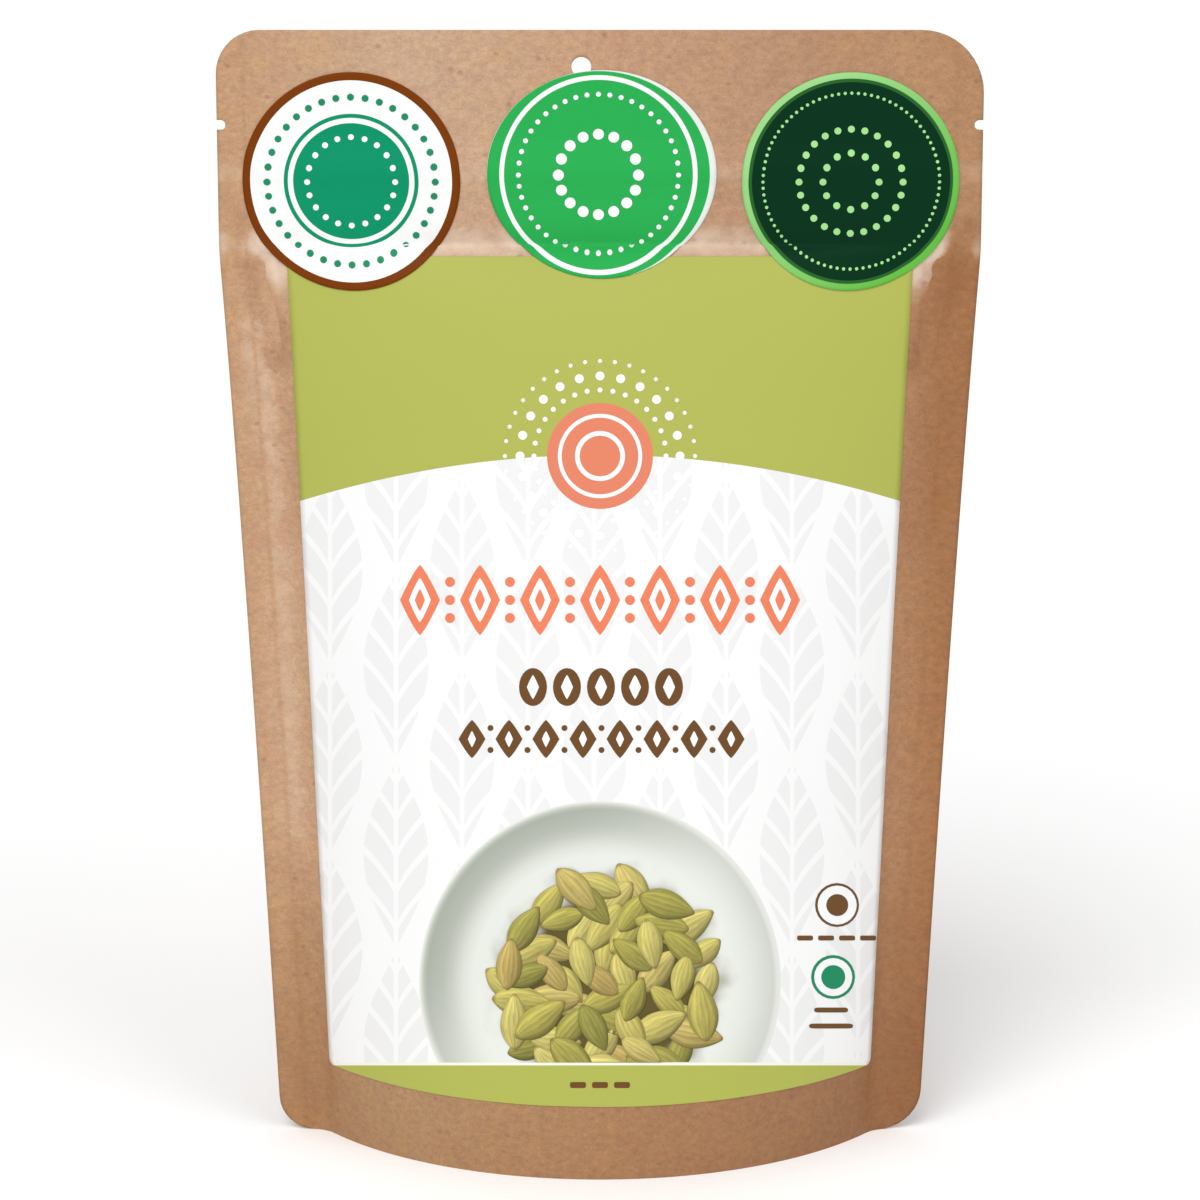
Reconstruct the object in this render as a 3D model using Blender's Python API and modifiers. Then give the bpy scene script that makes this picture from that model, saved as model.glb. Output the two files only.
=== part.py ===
"""A filled stand-up pouch of brown paper, 140 mm wide and 211 mm tall, holding dried pods.

Everything is in metres with +Z up. The pouch stands on z = 0, its front faces -Y, and its
two side seals lie in the plane y = 0. Each panel is a flat sheet whose arc length across
stays the same at every height, so the pouch grows narrower as its belly fills out.
"""

import math
import random

import bmesh
import bpy
from mathutils import Euler, Vector

# pouch
POUCH_WIDTH = 0.140
POUCH_HEIGHT = 0.211
SIDE_SEAL = 0.005
SEAL_BLEND = 0.007
TOP_CORNER = 0.009
FOOT_CORNER = 0.008
PAPER = 0.0004
FIT_GAP = 0.0003
HEM = 0.0015

# belly: the half angle that the front panel's arc turns through at the foot
FOOT_ANGLE = 1.03
BELLY_TOP = 0.1715
BELLY_POWER = 0.44
BELLY_EASE = 0.02

# header
ZIP_Z = 0.1815
ZIP_RIDGE = 0.0010
ZIP_BAND = 0.0042
ZIP_SLOPE = 0.0040
ZIP_LENGTH = 0.119
HOLE_RADIUS = 0.0018
HOLE_X = -0.0034
HOLE_Z = 0.2043
NOTCH_Z = 0.1937
NOTCH_RADIUS = 0.0009
NOTCH_DEPTH = 0.0016
CUT_THROUGH = 0.02

# press-to-close profile
TRACK_HEIGHT = 0.0070
TRACK_BASE = 0.0003
RIB_LENGTH = 0.0009
RIB_WIDTH = 0.0005
RIB_HEAD = 0.0011
LIP_LENGTH = 0.0009
LIP_WIDTH = 0.0004
LIP_INNER = 0.0019

# label and stickers
LABEL_WIDTH = 0.1146
LABEL_FOOT = 0.0140
LABEL_TOP = 0.1676
LABEL_CORNER = 0.0015
LABEL_PAPER = 0.0003
STEP_BLEND = 0.0028
STICKER_RADIUS = 0.0198
STICKER_PLACES = {
    "left_sticker": (-0.0455, 0.1822),
    "middle_sticker": (0.0, 0.1821),
    "right_sticker": (0.0457, 0.1822),
}

# bottom gusset: flat on the table in the middle, folded up into the corners of the foot
GUSSET_REACH = 0.0595
GUSSET_FLAT_SHARE = 0.45
GUSSET_SKIRT = 0.0050
GUSSET_SKIRT_TAPER = 0.75
GUSSET_RISE = 0.0330
GUSSET_RISE_POWER = 1.8
GUSSET_BEND = 0.0010
GUSSET_FLOOR_RUN = 0.0080

# contents: a heap of three-lobed pods along X, deepest in the middle
POD_LENGTH = 0.0135
POD_RADIUS = 0.0039
POD_LOBE = 0.13
POD_TAPER = 0.22
HEAP_REACH = 0.0400
HEAP_BASE = 0.0045
HEAP_HEIGHT = 0.0265
HEAP_END_HEIGHT = 0.35
HEAP_DEPTH = 0.0180
HEAP_END_DEPTH = 0.0030
HEAP_COLUMNS = 9
HEAP_RING = 7

HALF_WIDTH = POUCH_WIDTH / 2
HALF_ARC = HALF_WIDTH - SIDE_SEAL
PLY_OFFSET = FIT_GAP / 2 + PAPER / 2


def smooth(value):
    """0 below 0, 1 above 1, with a smooth step between."""
    value = min(max(value, 0.0), 1.0)
    return value * value * (3 - 2 * value)


def belly_angle(z):
    """The angle that half a panel's arc turns through at this height, upright at the hem."""
    fill = (BELLY_TOP - max(z, HEM)) / BELLY_TOP
    if fill <= 0:
        return 0.0
    return FOOT_ANGLE * (fill * fill / (fill + BELLY_EASE)) ** BELLY_POWER


def zip_ridge(s, z):
    """How far the zip between the panels lifts this one."""
    across = smooth((HALF_ARC - abs(s)) / ZIP_SLOPE)
    along = smooth((ZIP_BAND + ZIP_SLOPE - abs(z - ZIP_Z)) / ZIP_SLOPE)
    return ZIP_RIDGE * across * along


def section_point(s, z, steps=48):
    """(x, depth) of the panel at arc length s from its middle line, at this height."""
    turn = belly_angle(z) / HALF_ARC
    if turn == 0.0:
        return s, zip_ridge(s, z)

    def slope(arc):
        return turn * arc * smooth((HALF_ARC - arc) / SEAL_BLEND)

    reach = min(abs(s), HALF_ARC)
    step = reach / steps
    x = sum(math.cos(slope((i + 0.5) * step)) for i in range(steps)) * step
    x += abs(s) - reach
    step = (HALF_ARC - reach) / steps
    depth = sum(math.sin(slope(reach + (i + 0.5) * step)) for i in range(steps)) * step
    return math.copysign(x, s), depth + zip_ridge(s, z)


def front_point(s, z, outward=0.0):
    """A point on the front panel's middle surface, moved outward along its normal."""
    here = middle_point(s, z)
    if outward == 0.0:
        return here
    step = 0.0004
    across = middle_point(s + step, z) - middle_point(s - step, z)
    up = middle_point(s, z + step) - middle_point(s, z - step)
    return here + across.cross(up).normalized() * outward


def middle_point(s, z):
    x, depth = section_point(s, z)
    return Vector((x, -PLY_OFFSET - depth, z))


def collection(name):
    made = bpy.data.collections.new(name)
    bpy.context.scene.collection.children.link(made)
    return made


def material(name, colour, roughness, metallic=0.0):
    made = bpy.data.materials.new(name)
    made.use_nodes = True
    shader = made.node_tree.nodes["Principled BSDF"]
    shader.inputs["Base Color"].default_value = (*colour, 1.0)
    shader.inputs["Roughness"].default_value = roughness
    shader.inputs["Metallic"].default_value = metallic
    return made


def add_object(name, mesh, into, finish=None):
    made = bpy.data.objects.new(name, mesh)
    into.objects.link(made)
    if finish is not None:
        mesh.materials.append(finish)
    return made


def grid_sheet(name, columns, rows, place):
    """A grid whose vertex (i, j) goes to place(i, j)."""
    work = bmesh.new()
    bmesh.ops.create_grid(work, x_segments=columns, y_segments=rows, size=1.0)
    for vertex in work.verts:
        i = round((vertex.co.x + 1) / 2 * columns)
        j = round((vertex.co.y + 1) / 2 * rows)
        vertex.co = place(i, j)
    mesh = bpy.data.meshes.new(name)
    work.to_mesh(mesh)
    work.free()
    mesh.shade_smooth()
    return mesh


def thicken(target, thickness):
    wall = target.modifiers.new("wall", "SOLIDIFY")
    wall.thickness = thickness
    wall.offset = 0.0
    wall.use_even_offset = True


def cut(target, cutter):
    boolean = target.modifiers.new(cutter.name, "BOOLEAN")
    boolean.operation = "DIFFERENCE"
    boolean.solver = "EXACT"
    boolean.object = cutter


def hide_as_cutter(helper):
    helper.hide_render = True
    helper.display_type = "WIRE"


def corner_inset(distance, radius):
    """How far a rounded corner draws the side in, this far from the end of the sheet."""
    if distance >= radius:
        return 0.0
    return radius - math.sqrt(max(radius**2 - (radius - distance) ** 2, 0.0))


def arc_rows(radius, steps=4):
    """Distances from a sheet's end that divide its rounded corner evenly."""
    return [radius * (1 - math.cos(math.pi / 2 * k / steps)) for k in range(steps + 1)]


def belly_rows(steps=15):
    """Heights from the foot corner to the belly's top, closer where the shoulder bends."""
    span = BELLY_TOP - FOOT_CORNER
    return [BELLY_TOP - span * (k / steps) ** 1.7 for k in range(steps, -1, -1)]


def panel_rows():
    foot = arc_rows(FOOT_CORNER)
    ridge = ZIP_BAND + ZIP_SLOPE
    middle = ZIP_Z - ridge + ZIP_SLOPE / 2
    zip_rows = [
        ZIP_Z - ridge,
        middle,
        ZIP_Z - ZIP_BAND,
        ZIP_Z + ZIP_BAND,
        2 * ZIP_Z - middle,
        ZIP_Z + ridge,
    ]
    top = [POUCH_HEIGHT - row for row in reversed(arc_rows(TOP_CORNER))]
    header = (zip_rows[-1] + top[0]) / 2
    return foot[:-1] + belly_rows() + zip_rows + [header] + top


def panel_columns(steps=11):
    """Arc lengths across a panel, with extra columns where the seal folds."""
    inner = HALF_ARC - SEAL_BLEND
    side = [inner * k / steps for k in range(steps + 1)]
    side += [inner + 0.003, inner + 0.005, HALF_ARC, HALF_WIDTH]
    return [-s for s in reversed(side[1:])] + side


def panel_mesh(name, side):
    """A panel with rounded corners: side is 1 for the front and -1 for the back."""
    rows = panel_rows()
    columns = panel_columns()

    def place(i, j):
        z = rows[j]
        inset = corner_inset(z, FOOT_CORNER)
        inset += corner_inset(POUCH_HEIGHT - z, TOP_CORNER)
        s = columns[i] * (HALF_WIDTH - inset) / HALF_WIDTH
        point = front_point(s, z)
        return Vector((point.x, side * point.y, point.z))

    return grid_sheet(name, len(columns) - 1, len(rows) - 1, place)


def make_cutters(cutters):
    """The hang hole and the two tear notches, as pins along Y."""
    turned = Euler((math.pi / 2, 0, 0)).to_matrix().to_4x4()
    made = []
    work = bmesh.new()
    bmesh.ops.create_cone(
        work, cap_ends=True, segments=32, radius1=HOLE_RADIUS, radius2=HOLE_RADIUS,
        depth=CUT_THROUGH, matrix=turned,
    )
    mesh = bpy.data.meshes.new("hang_hole")
    work.to_mesh(mesh)
    work.free()
    hole = add_object("hang_hole_cutter", mesh, cutters)
    hole.location = (HOLE_X, 0, HOLE_Z)
    made.append(hole)
    for side, label in ((-1, "left"), (1, "right")):
        work = bmesh.new()
        bmesh.ops.create_cone(
            work, cap_ends=True, segments=20, radius1=NOTCH_RADIUS,
            radius2=NOTCH_RADIUS, depth=CUT_THROUGH, matrix=turned,
        )
        for vertex in work.verts:
            if vertex.co.x * side > NOTCH_RADIUS / 100:
                vertex.co.x += side * 2 * NOTCH_DEPTH
        mesh = bpy.data.meshes.new(f"{label}_notch")
        work.to_mesh(mesh)
        work.free()
        notch = add_object(f"{label}_notch_cutter", mesh, cutters)
        notch.location = (side * (HALF_WIDTH - NOTCH_DEPTH + NOTCH_RADIUS), 0, NOTCH_Z)
        made.append(notch)
    for cutter in made:
        hide_as_cutter(cutter)
    return made


def make_panels(pouch, cutters, paper):
    pins = make_cutters(cutters)
    for name, side in (("front_panel", 1), ("back_panel", -1)):
        panel = add_object(name, panel_mesh(name, side), pouch, paper)
        thicken(panel, PAPER)
        for pin in pins:
            cut(panel, pin)


def make_label(pouch, finish):
    """A sheet on the front panel that follows its bulge."""
    outward = PAPER / 2 + FIT_GAP + LABEL_PAPER / 2
    corner = arc_rows(LABEL_CORNER, 2)
    inner = [z for z in belly_rows() if LABEL_FOOT + 0.004 < z < LABEL_TOP - 0.003]
    rows = [LABEL_FOOT + d for d in corner] + inner
    rows += [LABEL_TOP - d for d in reversed(corner)]
    half = LABEL_WIDTH / 2
    across = 20

    def place(i, j):
        z = rows[j]
        inset = corner_inset(z - LABEL_FOOT, LABEL_CORNER)
        inset += corner_inset(LABEL_TOP - z, LABEL_CORNER)
        return front_point((2 * i / across - 1) * (half - inset), z, outward)

    mesh = grid_sheet("front_label", across, len(rows) - 1, place)
    thicken(add_object("front_label", mesh, pouch, finish), LABEL_PAPER)


def sticker_lift(z):
    """A sticker steps up where it lies over the label's top edge."""
    on_panel = PAPER / 2 + FIT_GAP + LABEL_PAPER / 2
    step = LABEL_PAPER + FIT_GAP
    return on_panel + step * smooth((LABEL_TOP + 1.25 * STEP_BLEND - z) / STEP_BLEND)


def make_stickers(pouch, finishes):
    """Round stickers across the header, their lower edges over the label."""
    cells = 14
    for name, (centre, height) in STICKER_PLACES.items():

        def place(i, j, centre=centre, height=height):
            u = 2 * i / cells - 1
            v = 2 * j / cells - 1
            s = centre + STICKER_RADIUS * u * math.sqrt(1 - v * v / 2)
            z = height + STICKER_RADIUS * v * math.sqrt(1 - u * u / 2)
            return front_point(s, z, sticker_lift(z))

        mesh = grid_sheet(name, cells, cells, place)
        thicken(add_object(name, mesh, pouch, finishes[name]), LABEL_PAPER)


def gusset_floor(s):
    """Height of the gusset's middle line: flat in the middle, rising to the side seals."""
    ends = max(abs(s) / GUSSET_REACH - GUSSET_FLAT_SHARE, 0.0) / (1 - GUSSET_FLAT_SHARE)
    return PAPER / 2 + GUSSET_RISE * ends**GUSSET_RISE_POWER


def gusset_section(s):
    """Points from the front skirt's hem over its fold to the gusset's middle line."""
    inward = -(PAPER + FIT_GAP)
    low = gusset_floor(s)
    fold = low + GUSSET_SKIRT * (1 - GUSSET_SKIRT_TAPER * low / (GUSSET_RISE + PAPER))
    heights = [0.0, HEM * 0.6, (fold - GUSSET_BEND) * 0.55, fold - GUSSET_BEND]
    leaf = [front_point(s, z, inward) for z in heights]
    edge = leaf[-1]
    bend = min(GUSSET_BEND, -edge.y * 0.4)
    points = list(leaf)
    for degrees in (50, 90, 130):
        turn = math.radians(degrees)
        over = edge.y + bend * (1 - math.cos(turn))
        points.append(Vector((edge.x, over, edge.z + bend * math.sin(turn))))
    start = edge.y + 2 * bend
    run = min(GUSSET_FLOOR_RUN, -start * 0.7)
    for k in range(4):
        z = edge.z + (low - edge.z) * smooth(k / 3)
        points.append(Vector((edge.x, start + run * k / 3, z)))
    points.append(Vector((edge.x, (start + run) / 2, low)))
    points.append(Vector((edge.x, 0.0, low)))
    return points


def make_gusset(pouch, paper):
    """The sheet between the panels' feet: two hemmed skirts and the floor between them."""
    across = 22
    sections = [gusset_section(GUSSET_REACH * (2 * i / across - 1)) for i in range(across + 1)]
    half = len(sections[0]) - 1

    def place(i, j):
        if j <= half:
            return sections[i][j]
        point = sections[i][2 * half - j]
        return Vector((point.x, -point.y, point.z))

    mesh = grid_sheet("bottom_gusset", across, 2 * half, place)
    thicken(add_object("bottom_gusset", mesh, pouch, paper), PAPER)


def extruded_along_x(name, outline, length, into, finish):
    """A closed outline of (y, z) points, drawn out along X."""
    curve = bpy.data.curves.new(name, "CURVE")
    curve.dimensions = "2D"
    curve.fill_mode = "BOTH"
    curve.extrude = length / 2
    spline = curve.splines.new("POLY")
    spline.points.add(len(outline) - 1)
    for point, (y, z) in zip(spline.points, outline):
        point.co = (y, z, 0, 1)
    spline.use_cyclic_u = True
    curve.materials.append(finish)
    made = bpy.data.objects.new(name, curve)
    into.objects.link(made)
    made.rotation_euler = (math.pi / 2, 0, math.pi / 2)
    return made


def make_zip(pouch, plastic):
    """Two strips between the panels: a rib on the front one presses into lips on the back."""
    wall = PLY_OFFSET + ZIP_RIDGE - PAPER / 2 - FIT_GAP
    half = TRACK_HEIGHT / 2
    front = -wall
    face = front + TRACK_BASE
    neck = face + RIB_LENGTH * 0.45
    tip = face + RIB_LENGTH
    rib = [
        (front, -half), (face, -half), (face, -RIB_WIDTH / 2), (neck, -RIB_WIDTH / 2),
        (neck, -RIB_HEAD / 2), (tip, -RIB_WIDTH / 4), (tip, RIB_WIDTH / 4),
        (neck, RIB_HEAD / 2), (neck, RIB_WIDTH / 2), (face, RIB_WIDTH / 2),
        (face, half), (front, half),
    ]
    rib_track = extruded_along_x("zip_rib_track", rib, ZIP_LENGTH, pouch, plastic)
    rib_track.location.z = ZIP_Z
    back = wall
    face = back - TRACK_BASE
    tip = face - LIP_LENGTH
    inner = LIP_INNER / 2
    outer = inner + LIP_WIDTH
    groove = [
        (back, -half), (back, half), (face, half), (face, outer), (tip, outer),
        (tip, inner), (face, inner), (face, -inner), (tip, -inner), (tip, -outer),
        (face, -outer), (face, -half),
    ]
    groove_track = extruded_along_x("zip_groove_track", groove, ZIP_LENGTH, pouch, plastic)
    groove_track.location.z = ZIP_Z


def pod_mesh():
    """One dried pod along X: three lobes, a blunt stalk end and a pointed tip."""
    work = bmesh.new()
    bmesh.ops.create_uvsphere(work, u_segments=6, v_segments=5, radius=1.0)
    for vertex in work.verts:
        along = vertex.co.z
        turn = math.atan2(vertex.co.y, vertex.co.x)
        wide = math.hypot(vertex.co.x, vertex.co.y)
        radius = POD_RADIUS * wide * (1 + POD_LOBE * math.cos(3 * turn))
        radius *= 1 - POD_TAPER * along
        vertex.co = (POD_LENGTH / 2 * along, radius * math.cos(turn), radius * math.sin(turn))
    mesh = bpy.data.meshes.new("pod")
    bmesh.ops.recalc_face_normals(work, faces=work.faces)
    work.to_mesh(mesh)
    work.free()
    return mesh


def heap_ring(x):
    """(half depth, lowest, highest) of the heap's core across the pouch at this x."""
    middle = 1 - (x / HEAP_REACH) ** 2 * 0.64
    low = HEAP_BASE + gusset_floor(x * 1.12) + POD_RADIUS / 2 * (1 - middle)
    high = low + HEAP_HEIGHT * (HEAP_END_HEIGHT + (1 - HEAP_END_HEIGHT) * middle)
    depth = HEAP_END_DEPTH + (HEAP_DEPTH - HEAP_END_DEPTH) * middle
    return depth, low, high


def heap_point(along, turn, share=1.0):
    """A point of the blunt-ended heap: along runs from -1 to 1 between its ends."""
    x = HEAP_REACH * along
    depth, low, high = heap_ring(x)
    share *= max(1 - along * along, 0.0) ** 0.2
    up = (low + high) / 2 + (high - low) / 2 * share * math.sin(turn)
    return Vector((x, depth * share * math.cos(turn), up))


def make_pods(pouch, husk):
    """A heap of pods: a core along X with pods pressed into it all round, made one body."""
    work = bmesh.new()
    bmesh.ops.create_uvsphere(work, u_segments=12, v_segments=8, radius=1.0)
    for vertex in work.verts:
        turn = math.atan2(vertex.co.y, vertex.co.x)
        vertex.co = heap_point(vertex.co.z, turn)
    bmesh.ops.recalc_face_normals(work, faces=work.faces)
    core_mesh = bpy.data.meshes.new("heap_core")
    work.to_mesh(core_mesh)
    work.free()
    core = add_object("heap_core", core_mesh, pouch)
    loose = collection("loose_pods")
    shape = pod_mesh()
    draw = random.Random(7)
    for i in range(HEAP_COLUMNS):
        along = 0.9 * (2 * i / (HEAP_COLUMNS - 1) - 1)
        for k in range(HEAP_RING):
            turn = 2 * math.pi * (k + 0.5 * (i % 2)) / HEAP_RING
            pod = add_object(f"pod_{i}_{k}", shape, loose)
            pod.location = heap_point(along + draw.uniform(-0.03, 0.03), turn, 0.93)
            lean = draw.uniform(-0.35, 0.35)
            pod.rotation_euler = (draw.uniform(0, math.tau), lean, draw.uniform(-0.45, 0.45))
    bpy.context.view_layer.update()
    join = core.modifiers.new("join", "BOOLEAN")
    join.operation = "UNION"
    join.solver = "EXACT"
    join.operand_type = "COLLECTION"
    join.collection = loose
    graph = bpy.context.evaluated_depsgraph_get()
    mesh = bpy.data.meshes.new_from_object(core.evaluated_get(graph))
    mesh.name = "cardamom_pods"
    mesh.materials.clear()
    for helper in [core, *loose.objects]:
        bpy.data.objects.remove(helper)
    bpy.data.collections.remove(loose)
    mesh.shade_smooth()
    mesh.set_sharp_from_angle(angle=math.radians(35))
    add_object("cardamom_pods", mesh, pouch, husk)


def main():
    for item in list(bpy.data.objects):
        bpy.data.objects.remove(item)
    pouch = collection("stand_up_pouch")
    cutters = collection("cutters")
    paper = material("brown_paper", (0.50, 0.32, 0.20), 0.78)
    finishes = {
        "left_sticker": material("white_green_sticker", (0.70, 0.80, 0.70), 0.35),
        "middle_sticker": material("green_sticker", (0.06, 0.40, 0.15), 0.35),
        "right_sticker": material("dark_green_sticker", (0.01, 0.05, 0.02), 0.35),
    }
    make_panels(pouch, cutters, paper)
    make_gusset(pouch, paper)
    make_label(pouch, material("coated_label_paper", (0.85, 0.86, 0.80), 0.5))
    make_stickers(pouch, finishes)
    make_zip(pouch, material("clear_zip_plastic", (0.80, 0.80, 0.78), 0.3))
    make_pods(pouch, material("dried_green_husk", (0.34, 0.38, 0.14), 0.8))


main()
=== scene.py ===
import math
import random

import bmesh
import bpy
from mathutils import Matrix, Vector
from mathutils.bvhtree import BVHTree


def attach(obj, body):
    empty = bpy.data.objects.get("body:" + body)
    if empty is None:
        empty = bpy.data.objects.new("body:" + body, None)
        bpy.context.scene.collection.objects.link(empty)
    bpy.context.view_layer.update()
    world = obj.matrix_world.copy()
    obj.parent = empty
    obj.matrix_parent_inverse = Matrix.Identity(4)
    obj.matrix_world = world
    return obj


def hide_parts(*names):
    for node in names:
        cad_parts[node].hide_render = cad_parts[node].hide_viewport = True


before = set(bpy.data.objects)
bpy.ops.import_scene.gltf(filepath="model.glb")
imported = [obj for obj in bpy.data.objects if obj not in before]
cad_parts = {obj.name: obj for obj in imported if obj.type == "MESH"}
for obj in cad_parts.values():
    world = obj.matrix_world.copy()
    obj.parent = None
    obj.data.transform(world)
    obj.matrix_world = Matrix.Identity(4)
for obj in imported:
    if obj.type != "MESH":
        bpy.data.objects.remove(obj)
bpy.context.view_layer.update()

# All places are in metres: the pouch stands on z = 0, its front faces -Y.
# A flat sheet is drawn with its arc length across the pouch along X and its height along Z,
# and the "bend pouch sheet" node tree lays it on the pouch's surface.


def linear(hexColour):
    # sRGB hex to linear RGBA
    parts = [int(hexColour[i:i + 2], 16) / 255 for i in (1, 3, 5)]
    return tuple(c / 12.92 if c <= 0.04045 else ((c + 0.055) / 1.055) ** 2.4 for c in parts) + (1.0,)


def addNode(tree, kind, feeds=(), **settings):
    # feeds: values, sockets or nodes for the node's inputs, in order or by name
    node = tree.nodes.new(kind)
    for name, value in settings.items():
        setattr(node, name, value)
    for slot, value in feeds.items() if isinstance(feeds, dict) else enumerate(feeds):
        if isinstance(value, bpy.types.Node):
            value = value.outputs[0]
        if isinstance(value, bpy.types.NodeSocket):
            tree.links.new(value, node.inputs[slot])
        elif value is not None:
            node.inputs[slot].default_value = value
    return node


def newTree(name, sockets):
    # a Geometry Nodes tree with a mesh in, a mesh out, and named inputs
    tree = bpy.data.node_groups.new(name, "GeometryNodeTree")
    tree.interface.new_socket("Geometry", in_out="OUTPUT", socket_type="NodeSocketGeometry")
    tree.interface.new_socket("Geometry", in_out="INPUT", socket_type="NodeSocketGeometry")
    for label, kind in sockets:
        tree.interface.new_socket(label, in_out="INPUT", socket_type="NodeSocket" + kind)
    return tree, addNode(tree, "NodeGroupInput"), addNode(tree, "NodeGroupOutput")


def runTree(piece, tree, values):
    # sets the inputs by identifier, then turns the result into the piece's plain mesh
    modifier = piece.modifiers.new(tree.name, "NODES")
    modifier.node_group = tree
    for socket in tree.interface.items_tree:
        if socket.in_out == "INPUT" and socket.name in values:
            modifier[socket.identifier] = values[socket.name]
    freeze(piece)


def freeze(piece):
    # what the modifiers make becomes the mesh, and the modifiers go
    bpy.context.view_layer.update()
    graph = bpy.context.evaluated_depsgraph_get()
    made = bpy.data.meshes.new_from_object(piece.evaluated_get(graph))
    piece.modifiers.clear()
    piece.data = made
    made.name = piece.name
    finishes = [finish for finish in made.materials if finish]
    if len(finishes) < len(made.materials):  # a tree leaves an empty slot before the one that it sets
        made.materials.clear()
        for finish in finishes:
            made.materials.append(finish)
        made.polygons.foreach_set("material_index", [0] * len(made.polygons))


def newPiece(name, points, faces, finish=None):
    mesh = bpy.data.meshes.new(name)
    mesh.from_pydata(points, [], faces)
    mesh.update()
    piece = bpy.data.objects.new(name, mesh)
    bpy.context.scene.collection.objects.link(piece)
    if finish:
        mesh.materials.append(finish)
    return piece


def flatSheet(name, columns, rows, place, finish=None):
    # a grid in the XZ plane that faces -Y; place(i, j) gives (across, height)
    points = [(place(i, j)[0], 0.0, place(i, j)[1]) for j in range(rows + 1) for i in range(columns + 1)]
    wide = columns + 1
    faces = [
        (j * wide + i, j * wide + i + 1, (j + 1) * wide + i + 1, (j + 1) * wide + i)
        for j in range(rows) for i in range(columns)
    ]
    return newPiece(name, points, faces, finish)


def newMaterial(name):
    material = bpy.data.materials.new(name)
    material.use_nodes = True
    return material, material.node_tree, material.node_tree.nodes["Principled BSDF"]


def setStops(ramp, stops, interpolation="LINEAR"):
    # colour stops of a Color Ramp node: (place, sRGB hex)
    band = ramp.color_ramp
    band.interpolation = interpolation
    while len(band.elements) > 1:
        band.elements.remove(band.elements[-1])
    band.elements[0].position = stops[0][0]
    band.elements[0].color = linear(stops[0][1])
    for place, colour in stops[1:]:
        band.elements.new(place).color = linear(colour)


def cornerInset(distance, radius):
    # how far a rounded corner draws the side in, this far from the end of the sheet
    if distance >= radius:
        return 0.0
    return radius - math.sqrt(max(radius**2 - (radius - distance) ** 2, 0.0))


view = {
    "elevation": 13.31,  # degrees above the table
    "distance": 0.8552,
    "target": 0.105,  # height of the point that the distance is measured to
    "aim": 0.1045,
    "lens": 137.1,
    "sensor": 36.0,
    "frame": 1200,  # the photograph's width and height
}
tilt = math.radians(view["elevation"])
eye = Vector((0, -math.cos(tilt), math.sin(tilt))) * view["distance"] + Vector((0, 0, view["target"]))
cameraData = bpy.data.cameras.new("photoCamera")
cameraData.lens = view["lens"]
cameraData.sensor_width = view["sensor"]
cameraData.clip_start = 0.01
cameraData.clip_end = 50
camera = bpy.data.objects.new("photoCamera", cameraData)
bpy.context.scene.collection.objects.link(camera)
turn = (Vector((0, 0, view["aim"])) - eye).to_track_quat("-Z", "Y")
camera.matrix_world = Matrix.Translation(eye) @ turn.to_matrix().to_4x4()
bpy.context.scene.camera = camera
toCamera = camera.matrix_world.inverted()
focal = view["lens"] / view["sensor"] * view["frame"]


def photoSpot(point):
    # where a point falls in the photograph, in its 1200 px
    seen = toCamera @ Vector(point)
    half = view["frame"] / 2
    return half + focal * seen.x / -seen.z, half - focal * seen.y / -seen.z


def photoRay(across, down):
    # the direction in which the camera sees a pixel of the photograph
    half = view["frame"] / 2
    return (turn @ Vector((across - half, half - down, -focal))).normalized()


pouch = {
    "halfWidth": 0.070,
    "halfArc": 0.065,  # to the inner edge of the side seal
    "height": 0.211,
    "topCorner": (0.0080, 0.0115),  # left and right, as cut
    "footCorner": (0.0065, 0.0080),
    "paper": 0.00025,
    "plyOffset": 0.00013,  # the panels' middles, so that the sealed rims touch
    "sealBlend": 0.007,
    "footAngle": 1.03,
    "bellyTop": 0.1715,
    "bellyPower": 0.44,
    "bellyEase": 0.02,
    "hem": 0.0015,
    "steps": 20,  # steps of the sums across a section
}
# soft ridges across the header: (height, half width of the top, slope, lift, tone)
# a tone above 0 is a painted highlight in the paper's colour, below 0 painted shade
zipRibs = [
    (0.1815, 0.0046, 0.0056, 0.00098, 0.0),
    (0.1850, 0.0004, 0.0022, 0.00022, 0.14),
    (0.1802, 0.0002, 0.0016, -0.00008, -0.14),
    (0.1722, 0.0004, 0.0042, 0.00032, 0.55),
]
# creases where the flat header turns into the belly: (start and end on the sheet, half width, depth, tone), the
# tone painting highlight and shade as for the ribs
frontCreases = [
    ((-0.0668, 0.1750), (-0.0592, 0.1510), 0.0040, -0.0005, -0.65),
    ((-0.0625, 0.1720), (-0.0600, 0.1660), 0.0050, 0.0003, 0.75),
    ((-0.0650, 0.1560), (-0.0640, 0.1330), 0.0042, 0.0002, 0.30),
    ((0.0672, 0.1735), (0.0600, 0.1500), 0.0048, -0.0005, -1.00),
    ((0.0608, 0.1725), (0.0590, 0.1655), 0.0050, 0.0003, 0.85),
    ((0.0655, 0.1420), (0.0630, 0.1180), 0.0070, -0.0005, -0.40),
    ((-0.0580, 0.1440), (-0.0585, 0.1200), 0.0060, -0.0002, -0.30),
    ((-0.0635, 0.1300), (-0.0640, 0.0600), 0.0040, 0.0002, 0.22),
    ((-0.0625, 0.0420), (-0.0620, 0.0060), 0.0060, -0.0003, -0.30),
    ((0.0625, 0.0420), (0.0620, 0.0060), 0.0060, -0.0003, -0.30),
]
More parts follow.
